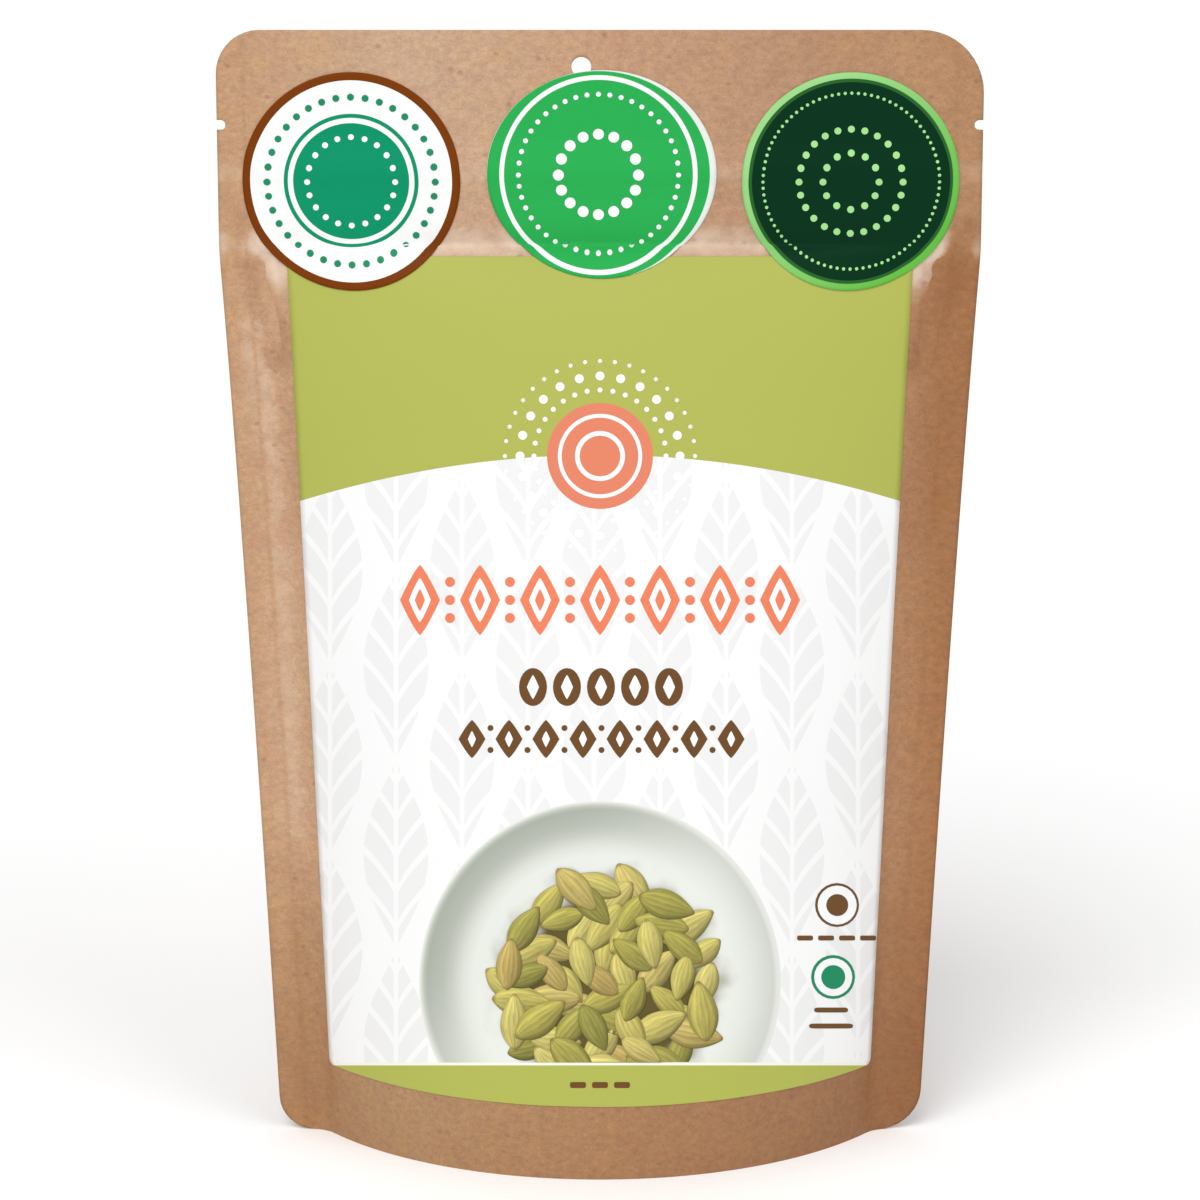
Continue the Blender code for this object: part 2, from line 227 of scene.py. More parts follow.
backCreases = [
    ((-0.0670, 0.1700), (-0.0560, 0.1440), 0.0090, -0.0011, -0.50),
    ((-0.0560, 0.1690), (-0.0620, 0.1560), 0.0070, 0.0004, 0.40),
    ((0.0670, 0.1720), (0.0570, 0.1500), 0.0085, -0.0010, -0.50),
    ((0.0320, 0.1690), (0.0140, 0.1500), 0.0110, -0.0009, -0.20),
    ((-0.0300, 0.1690), (-0.0200, 0.1480), 0.0120, -0.0008, -0.18),
    ((0.0640, 0.1200), (0.0600, 0.0950), 0.0070, -0.0008, -0.30),
    ((-0.0400, 0.0950), (-0.0100, 0.0840), 0.0120, -0.0008, -0.12),
    ((0.0050, 0.0560), (0.0380, 0.0640), 0.0130, -0.0009, -0.12),
    ((-0.0300, 0.1250), (0.0250, 0.1330), 0.0110, 0.0006, 0.12),
    ((-0.0625, 0.0420), (-0.0620, 0.0060), 0.0060, -0.0004, -0.25),
    ((0.0625, 0.0420), (0.0620, 0.0060), 0.0060, -0.0004, -0.25),
]


def bendTree(name, creases, dentSeed):
    # lays a flat sheet on the pouch: each section is an arc that flattens at the side seals
    numbers = ["Half Arc", "Seal Blend", "Foot Angle", "Belly Top", "Belly Power", "Belly Ease",
               "Hem", "Ply Offset", "Side", "Lift", "Step", "Step Height", "Step Run", "Dents"]
    tree, given, made = newTree(name, [(n, "Float") for n in numbers])
    given = given.outputs
    math3 = "ShaderNodeMath"
    place = addNode(tree, "ShaderNodeSeparateXYZ", (addNode(tree, "GeometryNodeInputPosition"),))
    across, height = place.outputs["X"], place.outputs["Z"]
    # belly angle from the height
    level = addNode(tree, math3, (height, given["Hem"]), operation="MAXIMUM")
    room = addNode(tree, math3, (given["Belly Top"], level), operation="SUBTRACT")
    fill = addNode(tree, math3, (room, given["Belly Top"]), operation="DIVIDE")
    fill = addNode(tree, math3, (fill, 0.0), operation="MAXIMUM")
    square = addNode(tree, math3, (fill, fill), operation="MULTIPLY")
    eased = addNode(tree, math3, (fill, given["Belly Ease"]), operation="ADD")
    share = addNode(tree, math3, (square, eased), operation="DIVIDE")
    share = addNode(tree, math3, (share, given["Belly Power"]), operation="POWER")
    angle = addNode(tree, math3, (share, given["Foot Angle"]), operation="MULTIPLY")
    bend = addNode(tree, math3, (angle, given["Half Arc"]), operation="DIVIDE")
    # the section's sums, step by step
    away = addNode(tree, math3, (across,), operation="ABSOLUTE")
    reach = addNode(tree, math3, (away, given["Half Arc"]), operation="MINIMUM")
    rest = addNode(tree, math3, (given["Half Arc"], reach), operation="SUBTRACT")
    repeatOut = addNode(tree, "GeometryNodeRepeatOutput")
    repeatIn = addNode(tree, "GeometryNodeRepeatInput", {"Iterations": pouch["steps"]})
    repeatIn.pair_with_output(repeatOut)
    repeatOut.repeat_items.clear()
    for item in ("Width", "Depth"):
        repeatOut.repeat_items.new("FLOAT", item)
    count = addNode(tree, math3, (repeatIn.outputs["Iteration"], 0.5), operation="ADD")
    part = addNode(tree, math3, (count, float(pouch["steps"])), operation="DIVIDE")
    for item, span, start, wave in (("Width", reach, 0.0, "COSINE"), ("Depth", rest, reach, "SINE")):
        arc = addNode(tree, math3, (part, span, start), operation="MULTIPLY_ADD")
        left = addNode(tree, math3, (given["Half Arc"], arc), operation="SUBTRACT")
        free = addNode(tree, "ShaderNodeMapRange", {"Value": left, "From Max": given["Seal Blend"]},
                       interpolation_type="SMOOTHSTEP")
        slope = addNode(tree, math3, (bend, arc), operation="MULTIPLY")
        slope = addNode(tree, math3, (slope, free), operation="MULTIPLY")
        wave = addNode(tree, math3, (slope,), operation=wave)
        step = addNode(tree, math3, (span, float(pouch["steps"])), operation="DIVIDE")
        total = addNode(tree, math3, (wave, step, repeatIn.outputs[item]), operation="MULTIPLY_ADD")
        tree.links.new(total.outputs[0], repeatOut.inputs[item])
    wing = addNode(tree, math3, (away, reach), operation="SUBTRACT")
    width = addNode(tree, math3, (repeatOut.outputs["Width"], wing), operation="ADD")
    signed = addNode(tree, math3, (across,), operation="SIGN")
    width = addNode(tree, math3, (width, signed), operation="MULTIPLY")
    # relief: the zip's ridges, the creases and shallow dents, all fading out at the side seals
    inside = addNode(tree, math3, (given["Half Arc"], away), operation="SUBTRACT")
    mask = addNode(tree, "ShaderNodeMapRange", {"Value": inside, "From Max": 0.004},
                   interpolation_type="SMOOTHSTEP")
    # tint gathers painted light: painted highlights on the ridges and painted shade in the creases and along the
    # seals
    relief = tint = 0.0
    for middle, half, slope, lift, tone in zipRibs:
        off = addNode(tree, math3, (height, middle), operation="SUBTRACT")
        off = addNode(tree, math3, (off,), operation="ABSOLUTE")
        rib = addNode(tree, "ShaderNodeMapRange", (off, half + slope, half), interpolation_type="SMOOTHSTEP")
        relief = addNode(tree, math3, (rib, lift, relief), operation="MULTIPLY_ADD")
        tint = addNode(tree, math3, (rib, tone, tint), operation="MULTIPLY_ADD")
    relief = addNode(tree, math3, (relief, mask), operation="MULTIPLY")
    here = addNode(tree, "ShaderNodeCombineXYZ", (across, height, 0.0))
    stray = addNode(tree, "ShaderNodeTexNoise", {"Vector": here, "Scale": 150.0, "Detail": 2.0}).outputs["Color"]
    stray = addNode(tree, "ShaderNodeVectorMath", (stray, (0.5, 0.5, 0.5)), operation="SUBTRACT")
    stray = addNode(tree, "ShaderNodeVectorMath", {0: stray, "Scale": 0.006}, operation="SCALE")
    stray = addNode(tree, "ShaderNodeVectorMath", (stray, (1.0, 1.0, 0.0)), operation="MULTIPLY")
    creased = addNode(tree, "ShaderNodeVectorMath", (here, stray), operation="ADD")
    for start, end, wide, depth, tone in creases:
        run = (Vector(end) - Vector(start)).to_3d()
        off = addNode(tree, "ShaderNodeVectorMath", (creased, (*start, 0.0)), operation="SUBTRACT")
        along = addNode(tree, "ShaderNodeVectorMath", (off, tuple(run / run.length_squared)),
                        operation="DOT_PRODUCT").outputs["Value"]
        along = addNode(tree, "ShaderNodeClamp", (along, 0.0, 1.0))
        near = addNode(tree, "ShaderNodeVectorMath", {0: tuple(run), "Scale": along}, operation="SCALE")
        gap = addNode(tree, "ShaderNodeVectorMath", (off, near), operation="DISTANCE").outputs["Value"]
        crease = addNode(tree, "ShaderNodeMapRange", (gap, wide, 0.0), interpolation_type="SMOOTHSTEP")
        tint = addNode(tree, math3, (crease, tone, tint), operation="MULTIPLY_ADD")
        crease = addNode(tree, math3, (crease, mask), operation="MULTIPLY")
        relief = addNode(tree, math3, (crease, depth, relief), operation="MULTIPLY_ADD")
    dentPlace = addNode(tree, "ShaderNodeVectorMath", (here, (0.0, 0.0, dentSeed)), operation="ADD")
    dent = addNode(tree, "ShaderNodeTexNoise", {"Vector": dentPlace, "Scale": 26.0, "Detail": 1.0})
    dent = addNode(tree, math3, (dent, 0.5), operation="SUBTRACT")
    dent = addNode(tree, math3, (dent, given["Dents"]), operation="MULTIPLY")
    dentMask = addNode(tree, "ShaderNodeMapRange", {"Value": height, "From Max": 0.012},
                       interpolation_type="SMOOTHSTEP")
    dent = addNode(tree, math3, (dent, dentMask), operation="MULTIPLY")
    headerMask = addNode(tree, "ShaderNodeMapRange", (height, 0.178, 0.155), interpolation_type="SMOOTHSTEP")
    dent = addNode(tree, math3, (dent, headerMask), operation="MULTIPLY")
    dent = addNode(tree, math3, (dent, mask), operation="MULTIPLY")
    relief = addNode(tree, math3, (relief, dent), operation="ADD")
    # a groove along the inner edge of each side seal, with painted shade in it
    seal = addNode(tree, math3, (inside,), operation="ABSOLUTE")
    seal = addNode(tree, "ShaderNodeMapRange", (seal, 0.0009, 0.0), interpolation_type="SMOOTHSTEP")
    relief = addNode(tree, math3, (seal, -0.00006, relief), operation="MULTIPLY_ADD")
    tint = addNode(tree, math3, (seal, -0.25, tint), operation="MULTIPLY_ADD")
    depth = addNode(tree, math3, (repeatOut.outputs["Depth"], relief), operation="ADD")
    depth = addNode(tree, math3, (depth, given["Ply Offset"]), operation="ADD")
    depth = addNode(tree, math3, (depth, given["Side"]), operation="MULTIPLY")
    depth = addNode(tree, math3, (depth, -1.0), operation="MULTIPLY")
    spot = addNode(tree, "ShaderNodeCombineXYZ", (width, depth, height))
    # the painted light is stored on the points, for the paper's colour
    toned = addNode(tree, "GeometryNodeStoreNamedAttribute", {
        "Geometry": given["Geometry"], "Name": "fold", "Value": tint}, data_type="FLOAT", domain="POINT")
    bent = addNode(tree, "GeometryNodeSetPosition", {"Geometry": toned, "Position": spot})
    # a layer on top is lifted along the surface's normal, more where it laps over the label's edge
    sheetHeight = addNode(tree, "ShaderNodeSeparateXYZ", (addNode(tree, "GeometryNodeInputPosition"),))
    over = addNode(tree, math3, (given["Step Height"], sheetHeight.outputs["Z"]), operation="SUBTRACT")
    over = addNode(tree, "ShaderNodeMapRange", {"Value": over, "From Max": given["Step Run"],
                                                "To Max": given["Step"]}, interpolation_type="SMOOTHSTEP")
    lift = addNode(tree, math3, (over, given["Lift"]), operation="ADD")
    rise = addNode(tree, "ShaderNodeVectorMath",
                   {0: addNode(tree, "GeometryNodeInputNormal"), "Scale": lift}, operation="SCALE")
    lifted = addNode(tree, "GeometryNodeSetPosition", {"Geometry": bent, "Offset": rise})
    smoothed = addNode(tree, "GeometryNodeSetShadeSmooth", {"Geometry": lifted})
    whole = addNode(tree, "GeometryNodeRealizeInstances", (smoothed,))
    tree.links.new(whole.outputs[0], made.inputs[0])
    return tree


def bendValues(**more):
    values = {
        "Half Arc": pouch["halfArc"], "Seal Blend": pouch["sealBlend"], "Foot Angle": pouch["footAngle"],
        "Belly Top": pouch["bellyTop"], "Belly Power": pouch["bellyPower"], "Belly Ease": pouch["bellyEase"],
        "Hem": pouch["hem"], "Ply Offset": pouch["plyOffset"], "Side": 1.0, "Lift": 0.0, "Step": 0.0,
        "Step Height": 0.0, "Step Run": 0.003, "Dents": 0.0011,
    }
    values.update(more)
    return values


def thicken(piece, thickness):
    wall = piece.modifiers.new("paper thickness", "SOLIDIFY")
    wall.thickness = thickness
    wall.offset = 0.0
    wall.use_even_offset = True
    freeze(piece)


paperLook = {
    "paintedSheenAndShade": [(-0.070, "#b88f6c"), (-0.035, "#bf9e81"), (0.0, "#b99172"), (0.035, "#ad8566"),
              (0.055, "#a77b58"), (0.063, "#9b6a41"), (0.070, "#96643b")],
    "foot": [(0.0, "#dccdb4"), (0.018, "#e0d3bc"), (0.040, "#f1ebe0"), (0.065, "#ffffff")],
    "header": "#b28a66",
    "fleck": "#7d5231",
    "paintedHighlight": "#e4d3c1",
    "pressed": "#84512a",
    "grain": (0.00030, 0.0010),  # the two sizes of the mottling
    "blotch": 0.0060,
    "roughness": 0.55,
}


def brownPaper():
    # uncoated brown paper: machine-made from unbleached pulp, so it is matt and mottled, with
    # pinkish and yellowish clouds and a few dark flecks; the film on it gives a faint broad sheen
    material, tree, shader = newMaterial("uncoatedBrownPaper")
    mathKind, mixKind = "ShaderNodeMath", "ShaderNodeMix"
    place = addNode(tree, "ShaderNodeTexCoord").outputs["Object"]
    axes = addNode(tree, "ShaderNodeSeparateXYZ", (place,))
    # painted light: the base colour is paler at the left as a painted sheen, darker at the right as painted shade,
    # and darker towards the foot as painted shade
    reach = paperLook["paintedSheenAndShade"][-1][0]
    across = addNode(tree, "ShaderNodeMapRange", (axes.outputs["X"], -reach, reach))
    paintedSheenAndShade = addNode(tree, "ShaderNodeValToRGB", (across,))
    setStops(paintedSheenAndShade, [((x + reach) / (2 * reach), colour) for x, colour in paperLook["paintedSheenAndShade"]])
    top = paperLook["foot"][-1][0]
    level = addNode(tree, "ShaderNodeMapRange", (axes.outputs["Z"], 0.0, top))
    foot = addNode(tree, "ShaderNodeValToRGB", (level,))
    setStops(foot, [(z / top, colour) for z, colour in paperLook["foot"]])
    body = addNode(tree, mixKind, {0: 1.0, 6: paintedSheenAndShade, 7: foot}, data_type="RGBA", blend_type="MULTIPLY")
    # the painted shade of the right side is kept off the header, whose right end is as pale as its middle
    header = addNode(tree, "ShaderNodeMapRange", (axes.outputs["Z"], 0.166, 0.178), interpolation_type="SMOOTHSTEP")
    right = addNode(tree, "ShaderNodeMapRange", (axes.outputs["X"], 0.036, 0.062, 0.0, 0.6),
                    interpolation_type="SMOOTHSTEP")
    pale = addNode(tree, mathKind, (header, right), operation="MULTIPLY")
    body = addNode(tree, mixKind, {0: pale, 6: body.outputs[2], 7: linear(paperLook["header"])},
                   data_type="RGBA")
    # clouds of pinker and yellower pulp
    cloud = addNode(tree, "ShaderNodeTexNoise", {"Vector": place, "Scale": 1 / paperLook["blotch"],
                                                 "Detail": 2.0, "Roughness": 0.6})
    tint = addNode(tree, "ShaderNodeValToRGB", (cloud,))
    setStops(tint, [(0.32, "#f8f2f2"), (0.5, "#fafafa"), (0.68, "#fefbf1")])
    body = addNode(tree, mixKind, {0: 1.0, 6: body.outputs[2], 7: tint}, data_type="RGBA",
                   blend_type="MULTIPLY")
    # mottling in two sizes, a little longer along X, as the fibres lie
    stretch = addNode(tree, "ShaderNodeMapping", {"Vector": place, "Scale": (0.7, 1.0, 1.0)})
    fine, coarse = (addNode(tree, "ShaderNodeTexNoise", {
        "Vector": stretch, "Scale": 1 / size, "Detail": 2.0, "Roughness": 0.6}) for size in paperLook["grain"])
    both = addNode(tree, mathKind, (fine, coarse), operation="ADD")
    grain = addNode(tree, "ShaderNodeMapRange", (both, 0.65, 1.35, 0.80, 1.20))
    body = addNode(tree, mixKind, {0: 1.0, 6: body.outputs[2], 7: grain}, data_type="RGBA",
                   blend_type="MULTIPLY")
    # painted light along ridges and creases: a painted highlight on the ridges and painted shade in the hollows,
    # broken up by the clouds
    fold = addNode(tree, "ShaderNodeAttribute", attribute_name="fold").outputs["Fac"]
    patchy = addNode(tree, "ShaderNodeMapRange", (cloud, 0.3, 0.7, 0.35, 1.65))
    fold = addNode(tree, mathKind, (fold, patchy), operation="MULTIPLY")
    paintedHighlight = addNode(tree, "ShaderNodeMapRange", (fold, 0.0, 1.0, 0.0, 0.62))
    body = addNode(tree, mixKind, {0: paintedHighlight, 6: body.outputs[2], 7: linear(paperLook["paintedHighlight"])},
                   data_type="RGBA")
    pressed = addNode(tree, "ShaderNodeMapRange", (fold, 0.0, -1.0, 0.0, 0.55))
    body = addNode(tree, mixKind, {0: pressed, 6: body.outputs[2], 7: linear(paperLook["pressed"])},
                   data_type="RGBA")
    stray = addNode(tree, "ShaderNodeTexVoronoi", {"Vector": stretch, "Scale": 300.0})
    fleck = addNode(tree, "ShaderNodeMapRange", (stray, 0.16, 0.04, 0.0, 0.4))
    body = addNode(tree, mixKind, {0: fleck, 6: body.outputs[2], 7: linear(paperLook["fleck"])},
                   data_type="RGBA")
    tree.links.new(body.outputs[2], shader.inputs["Base Color"])
    rough = addNode(tree, "ShaderNodeMapRange", (fine, 0.3, 0.7, paperLook["roughness"] - 0.05,
                                                 paperLook["roughness"] + 0.08))
    tree.links.new(rough.outputs[0], shader.inputs["Roughness"])
    bump = addNode(tree, "ShaderNodeBump", {"Strength": 0.3, "Distance": 0.00005, "Height": both})
    tree.links.new(bump.outputs[0], shader.inputs["Normal"])
    shader.inputs["Specular IOR Level"].default_value = 0.4
    shader.inputs["IOR"].default_value = 1.5
    return material


# the print's places are in the photograph's pixels, read from the UV map "print"
labelPrint = {
    "green": "#a8ad51",
    "white": "#eaeaea",
    "leaf": "#e1e1e1",
    "gloss": 0.2,
    "archTop": 455.0,  # the header's lower edge in the middle
    "archDrop": 47.0,  # and how much lower it is at the sides
    "archHalf": 303.0,
    "footer": 1064.0,
    "leafPitch": (66.0, 190.0),
    "dish": (600.0, 982.0, 181.0),
    "coral": "#d87d60",
    "heap": (610.0, 984.0),
    "emblem": (600.0, 456.0),
}


def printSpot(tree):
    # (pixels across, pixels down) of the print
    chart = addNode(tree, "ShaderNodeUVMap", uv_map="print")
    axes = addNode(tree, "ShaderNodeSeparateXYZ", (chart,))
    across = addNode(tree, "ShaderNodeMath", (axes.outputs[0], 1200.0), operation="MULTIPLY")
    down = addNode(tree, "ShaderNodeMath", (axes.outputs[1], -1200.0, 1200.0), operation="MULTIPLY_ADD")
    return across.outputs[0], down.outputs[0]


def printDistance(tree, across, down, middle):
    # distance of the print's place from a point, in pixels
    here = addNode(tree, "ShaderNodeCombineXYZ", (across, down, 0.0))
    return addNode(tree, "ShaderNodeVectorMath", (here, (middle[0], middle[1], 0.0)),
                   operation="DISTANCE").outputs["Value"]


def labelPaper():
    # coated white paper, offset printed: flat inks with crisp edges under a satin coating
    material, tree, shader = newMaterial("coatedPaperOffsetPrint")
    look = labelPrint
    mathKind, mixKind = "ShaderNodeMath", "ShaderNodeMix"
    across, down = printSpot(tree)
    # a half-drop lattice of pale grey leaves, white veins left open
    pitch, drop = look["leafPitch"]
    lane = addNode(tree, mathKind, (across, 1 / pitch, 0.5), operation="MULTIPLY_ADD")
    laneNumber = addNode(tree, mathKind, (lane,), operation="FLOOR")
    odd = addNode(tree, mathKind, (laneNumber, 2.0), operation="FLOORED_MODULO")
    shift = addNode(tree, mathKind, (odd, 0.5), operation="MULTIPLY")
    a = addNode(tree, mathKind, (lane, laneNumber), operation="SUBTRACT")
    a = addNode(tree, mathKind, (a, 2.0, -1.0), operation="MULTIPLY_ADD")
    a = addNode(tree, mathKind, (a,), operation="ABSOLUTE")
    row = addNode(tree, mathKind, (down, 1 / drop, shift), operation="MULTIPLY_ADD")
    b = addNode(tree, mathKind, (row,), operation="FRACT")
    b = addNode(tree, mathKind, (b, 2.0, -1.0), operation="MULTIPLY_ADD")
    bb = addNode(tree, mathKind, (b, b), operation="MULTIPLY")
    bulge = addNode(tree, mathKind, (1.0, bb), operation="SUBTRACT")
    bulge = addNode(tree, mathKind, (bulge, 1.25), operation="POWER")
    bulge = addNode(tree, mathKind, (bulge, 0.98), operation="MULTIPLY")
    leaf = addNode(tree, mathKind, (a, bulge), operation="LESS_THAN")
    rib = addNode(tree, mathKind, (a, 0.07), operation="GREATER_THAN")
    curl = addNode(tree, mathKind, (a, 0.7), operation="POWER")
    vein = addNode(tree, mathKind, (curl, 1.3, addNode(tree, mathKind, (b, 2.6), operation="MULTIPLY")),
                   operation="MULTIPLY_ADD")
    vein = addNode(tree, mathKind, (vein,), operation="FRACT")
    vein = addNode(tree, mathKind, (vein, 0.24), operation="GREATER_THAN")
    leaf = addNode(tree, mathKind, (leaf, rib), operation="MULTIPLY")
    leaf = addNode(tree, mathKind, (leaf, vein), operation="MULTIPLY")
    ink = addNode(tree, mixKind, {0: leaf, 6: linear(look["white"]), 7: linear(look["leaf"])},
                  data_type="RGBA").outputs[2]
    # the round dish: rim, wall and floor by the distance from its middle
    x, y, radius = look["dish"]
    far = printDistance(tree, across, down, (x, y))
    part = addNode(tree, mathKind, (far, radius), operation="DIVIDE")
    lit = addNode(tree, "ShaderNodeValToRGB", (part,))
    setStops(lit, [(0.0, "#dcdfd8"), (0.74, "#dcdfd8"), (0.82, "#d6d9d2"), (0.96, "#c5c8c1"), (0.975, "#d2d4ce"),
                   (1.0, "#dadcd7")])
    shaded = addNode(tree, "ShaderNodeValToRGB", (part,))
    setStops(shaded, [(0.0, "#dcdfd8"), (0.70, "#d9dcd5"), (0.76, "#ccd0c8"), (0.82, "#b6bab2"), (0.87, "#a9aea4"),
                      (0.955, "#a0a59b"), (0.975, "#b2b6ac"), (1.0, "#e2e3dd")])
    # the wall's shaded side is at the upper left
    slant = addNode(tree, mathKind, (addNode(tree, mathKind, (across, x), operation="SUBTRACT"), 1.0,
                                     addNode(tree, mathKind, (down, y), operation="SUBTRACT")),
                    operation="MULTIPLY_ADD")
    slant = addNode(tree, mathKind, (slant, far), operation="DIVIDE")
    turn = addNode(tree, "ShaderNodeMapRange", (slant, 0.1, -1.25), interpolation_type="SMOOTHSTEP")
    dish = addNode(tree, mixKind, {0: turn, 6: lit, 7: shaded}, data_type="RGBA").outputs[2]
    # the shadow that the heap of pods lies in
    place = addNode(tree, "ShaderNodeTexCoord").outputs["Object"]
    wobble = addNode(tree, "ShaderNodeTexNoise", {"Vector": place, "Scale": 160.0, "Detail": 2.0})
    heap = printDistance(tree, across, down, look["heap"])
    heap = addNode(tree, mathKind, (wobble, 60.0, heap), operation="MULTIPLY_ADD")
    heap = addNode(tree, "ShaderNodeMapRange", (heap, 154.0, 108.0), interpolation_type="SMOOTHSTEP")
    dish = addNode(tree, mixKind, {0: heap, 6: dish, 7: linear("#5b4f24")}, data_type="RGBA").outputs[2]
    inside = addNode(tree, mathKind, (part, 1.0), operation="LESS_THAN")
    ink = addNode(tree, mixKind, {0: inside, 6: ink, 7: dish}, data_type="RGBA").outputs[2]
    # green header above an arch, green footer below a straight line
    off = addNode(tree, mathKind, (across, 600.0), operation="SUBTRACT")
    off = addNode(tree, mathKind, (off, look["archHalf"]), operation="DIVIDE")
    off = addNode(tree, mathKind, (off, off), operation="MULTIPLY")
    arch = addNode(tree, mathKind, (off, look["archDrop"], look["archTop"]), operation="MULTIPLY_ADD")
    header = addNode(tree, mathKind, (down, arch), operation="LESS_THAN")
    footer = addNode(tree, mathKind, (down, look["footer"]), operation="GREATER_THAN")
    green = addNode(tree, mathKind, (header, footer), operation="MAXIMUM")
    ink = addNode(tree, mixKind, {0: green, 6: ink, 7: linear(look["green"])}, data_type="RGBA").outputs[2]
    edge = addNode(tree, mathKind, (down, look["footer"], 1.4), operation="COMPARE")
    ink = addNode(tree, mixKind, {0: edge, 6: ink, 7: linear("#e7e8d9")}, data_type="RGBA").outputs[2]
    # a plain ringed disc in the middle of the header's edge
    ring = printDistance(tree, across, down, look["emblem"])
    disc = addNode(tree, "ShaderNodeValToRGB", (addNode(tree, mathKind, (ring, 100.0), operation="DIVIDE"),))
    setStops(disc, [(0.0, look["coral"]), (0.20, look["white"]), (0.25, look["coral"]), (0.38, look["white"]),
                    (0.42, look["coral"])], "CONSTANT")
    inside = addNode(tree, mathKind, (ring, 53.0), operation="LESS_THAN")
    ink = addNode(tree, mixKind, {0: inside, 6: ink, 7: disc}, data_type="RGBA").outputs[2]
    tree.links.new(ink, shader.inputs["Base Color"])
    # the coating is uneven by a few microns, which shows only in its gloss
    haze = addNode(tree, "ShaderNodeTexNoise", {"Vector": place, "Scale": 900.0, "Detail": 2.0})
    rough = addNode(tree, "ShaderNodeMapRange", (haze, 0.3, 0.7, 0.48, 0.58))
    tree.links.new(rough.outputs[0], shader.inputs["Roughness"])
    bump = addNode(tree, "ShaderNodeBump", {"Strength": 0.08, "Distance": 0.00002, "Height": haze})
    tree.links.new(bump.outputs[0], shader.inputs["Normal"])
    shader.inputs["Specular IOR Level"].default_value = look["gloss"]
    return material


stickers = {
    "left_sticker": {
        "piece": "left_sticker_print", "slot": "ring_sticker", "middle": (-0.0455, 0.18345),
        "spot": (352, 181), "radius": (0.01995, 0.0199), "material": "glossStickerBrownRing",
        "rings": [(0, "#0c8b62"), (58, "#ebebeb"), (63, "#0c8b62"), (67, "#ebebeb"), (100.5, "#733709")],
        "squash": 1.0, "far": (0.7, 0.7, "#733709"),
    },
    "middle_sticker": {
        "piece": "middle_sticker_print", "slot": "green_sticker", "middle": (0.0003, 0.18490),
        "spot": (602.5, 175), "radius": (0.0210, 0.01885), "material": "glossStickerGreen",
        "ringSpot": (599.3, 176), "rings": [(0, "#29a54f"), (93.8, "#ebebeb"), (99, "#29a54f"), (111, "#dadfda")],
        "squash": 1.08, "far": (1.0, 0.0, "#29a54f"),
    },
    "right_sticker": {
        "piece": "right_sticker_print", "slot": "dark_sticker", "middle": (0.0459, 0.18345),
        "spot": (851, 181), "radius": (0.01995, 0.0199), "material": "glossStickerDarkGreen",
        "rings": [(0, "#06301a"), (99, "#275d2b"), (102, "#95cd83")],
        "squash": 1.0, "far": (0.7, 0.7, "#5fb040"),
    },
}


def stickerPaper(look):
    # vinyl-faced sticker: flat printed rings under a clear film, a little glossier than the label
    material, tree, shader = newMaterial(look["material"])
    mathKind = "ShaderNodeMath"
    across, down = printSpot(tree)
    x, y = look.get("ringSpot", look["spot"])
    # the outer ring is an ellipse, squash times as wide as it is tall; the rings inside are round
    right = addNode(tree, mathKind, (across, x), operation="SUBTRACT")
    low = addNode(tree, mathKind, (down, y), operation="SUBTRACT")
    far = printDistance(tree, across, down, (x, y))
    tall = addNode(tree, mathKind, (low, look["squash"]), operation="MULTIPLY")
    oval = addNode(tree, "ShaderNodeVectorMath", (addNode(tree, "ShaderNodeCombineXYZ", (right, tall)),),
                   operation="LENGTH").outputs["Value"]
    past = addNode(tree, mathKind, (far, 101.0), operation="GREATER_THAN")
    reach = addNode(tree, "ShaderNodeMix", {0: past, 2: far, 3: oval})
    ramp = addNode(tree, "ShaderNodeValToRGB", (addNode(tree, mathKind, (reach, 150.0), operation="DIVIDE"),))
    setStops(ramp, [(reach / 150, colour) for reach, colour in look["rings"]], "CONSTANT")
    # the rim's ink runs to a second tone down one side
    a, b, tone = look["far"]
    slant = addNode(tree, mathKind, (right, a, addNode(tree, mathKind, (low, b), operation="MULTIPLY")),
                    operation="MULTIPLY_ADD")
    slant = addNode(tree, "ShaderNodeMapRange", (slant, -90.0, 100.0))
    rim = addNode(tree, mathKind, (addNode(tree, mathKind, (far, 102.0), operation="GREATER_THAN"), slant),
                  operation="MULTIPLY")
    if b == 0.0:
        rim = 0.0
    ink = addNode(tree, "ShaderNodeMix", {0: rim, 6: ramp, 7: linear(tone)}, data_type="RGBA")
    tree.links.new(ink.outputs[2], shader.inputs["Base Color"])
    shader.inputs["Roughness"].default_value = 0.42
    shader.inputs["Specular IOR Level"].default_value = 0.04
    place = addNode(tree, "ShaderNodeTexCoord").outputs["Object"]
    haze = addNode(tree, "ShaderNodeTexNoise", {"Vector": place, "Scale": 700.0, "Detail": 1.0})
    bump = addNode(tree, "ShaderNodeBump", {"Strength": 0.05, "Distance": 0.00002, "Height": haze})
    tree.links.new(bump.outputs[0], shader.inputs["Normal"])
    return material


def printInk(name, colour):
    # one flat offset ink on coated paper, very slightly uneven
    material, tree, shader = newMaterial(name)
    place = addNode(tree, "ShaderNodeTexCoord").outputs["Object"]
    haze = addNode(tree, "ShaderNodeTexNoise", {"Vector": place, "Scale": 900.0, "Detail": 2.0})
    even = addNode(tree, "ShaderNodeMapRange", (haze, 0.3, 0.7, 0.97, 1.03))
    ink = addNode(tree, "ShaderNodeMix", {0: 1.0, 6: linear(colour), 7: even}, data_type="RGBA",
                  blend_type="MULTIPLY")
    tree.links.new(ink.outputs[2], shader.inputs["Base Color"])
    shader.inputs["Roughness"].default_value = 0.5
    shader.inputs["Specular IOR Level"].default_value = labelPrint["gloss"]
    return material


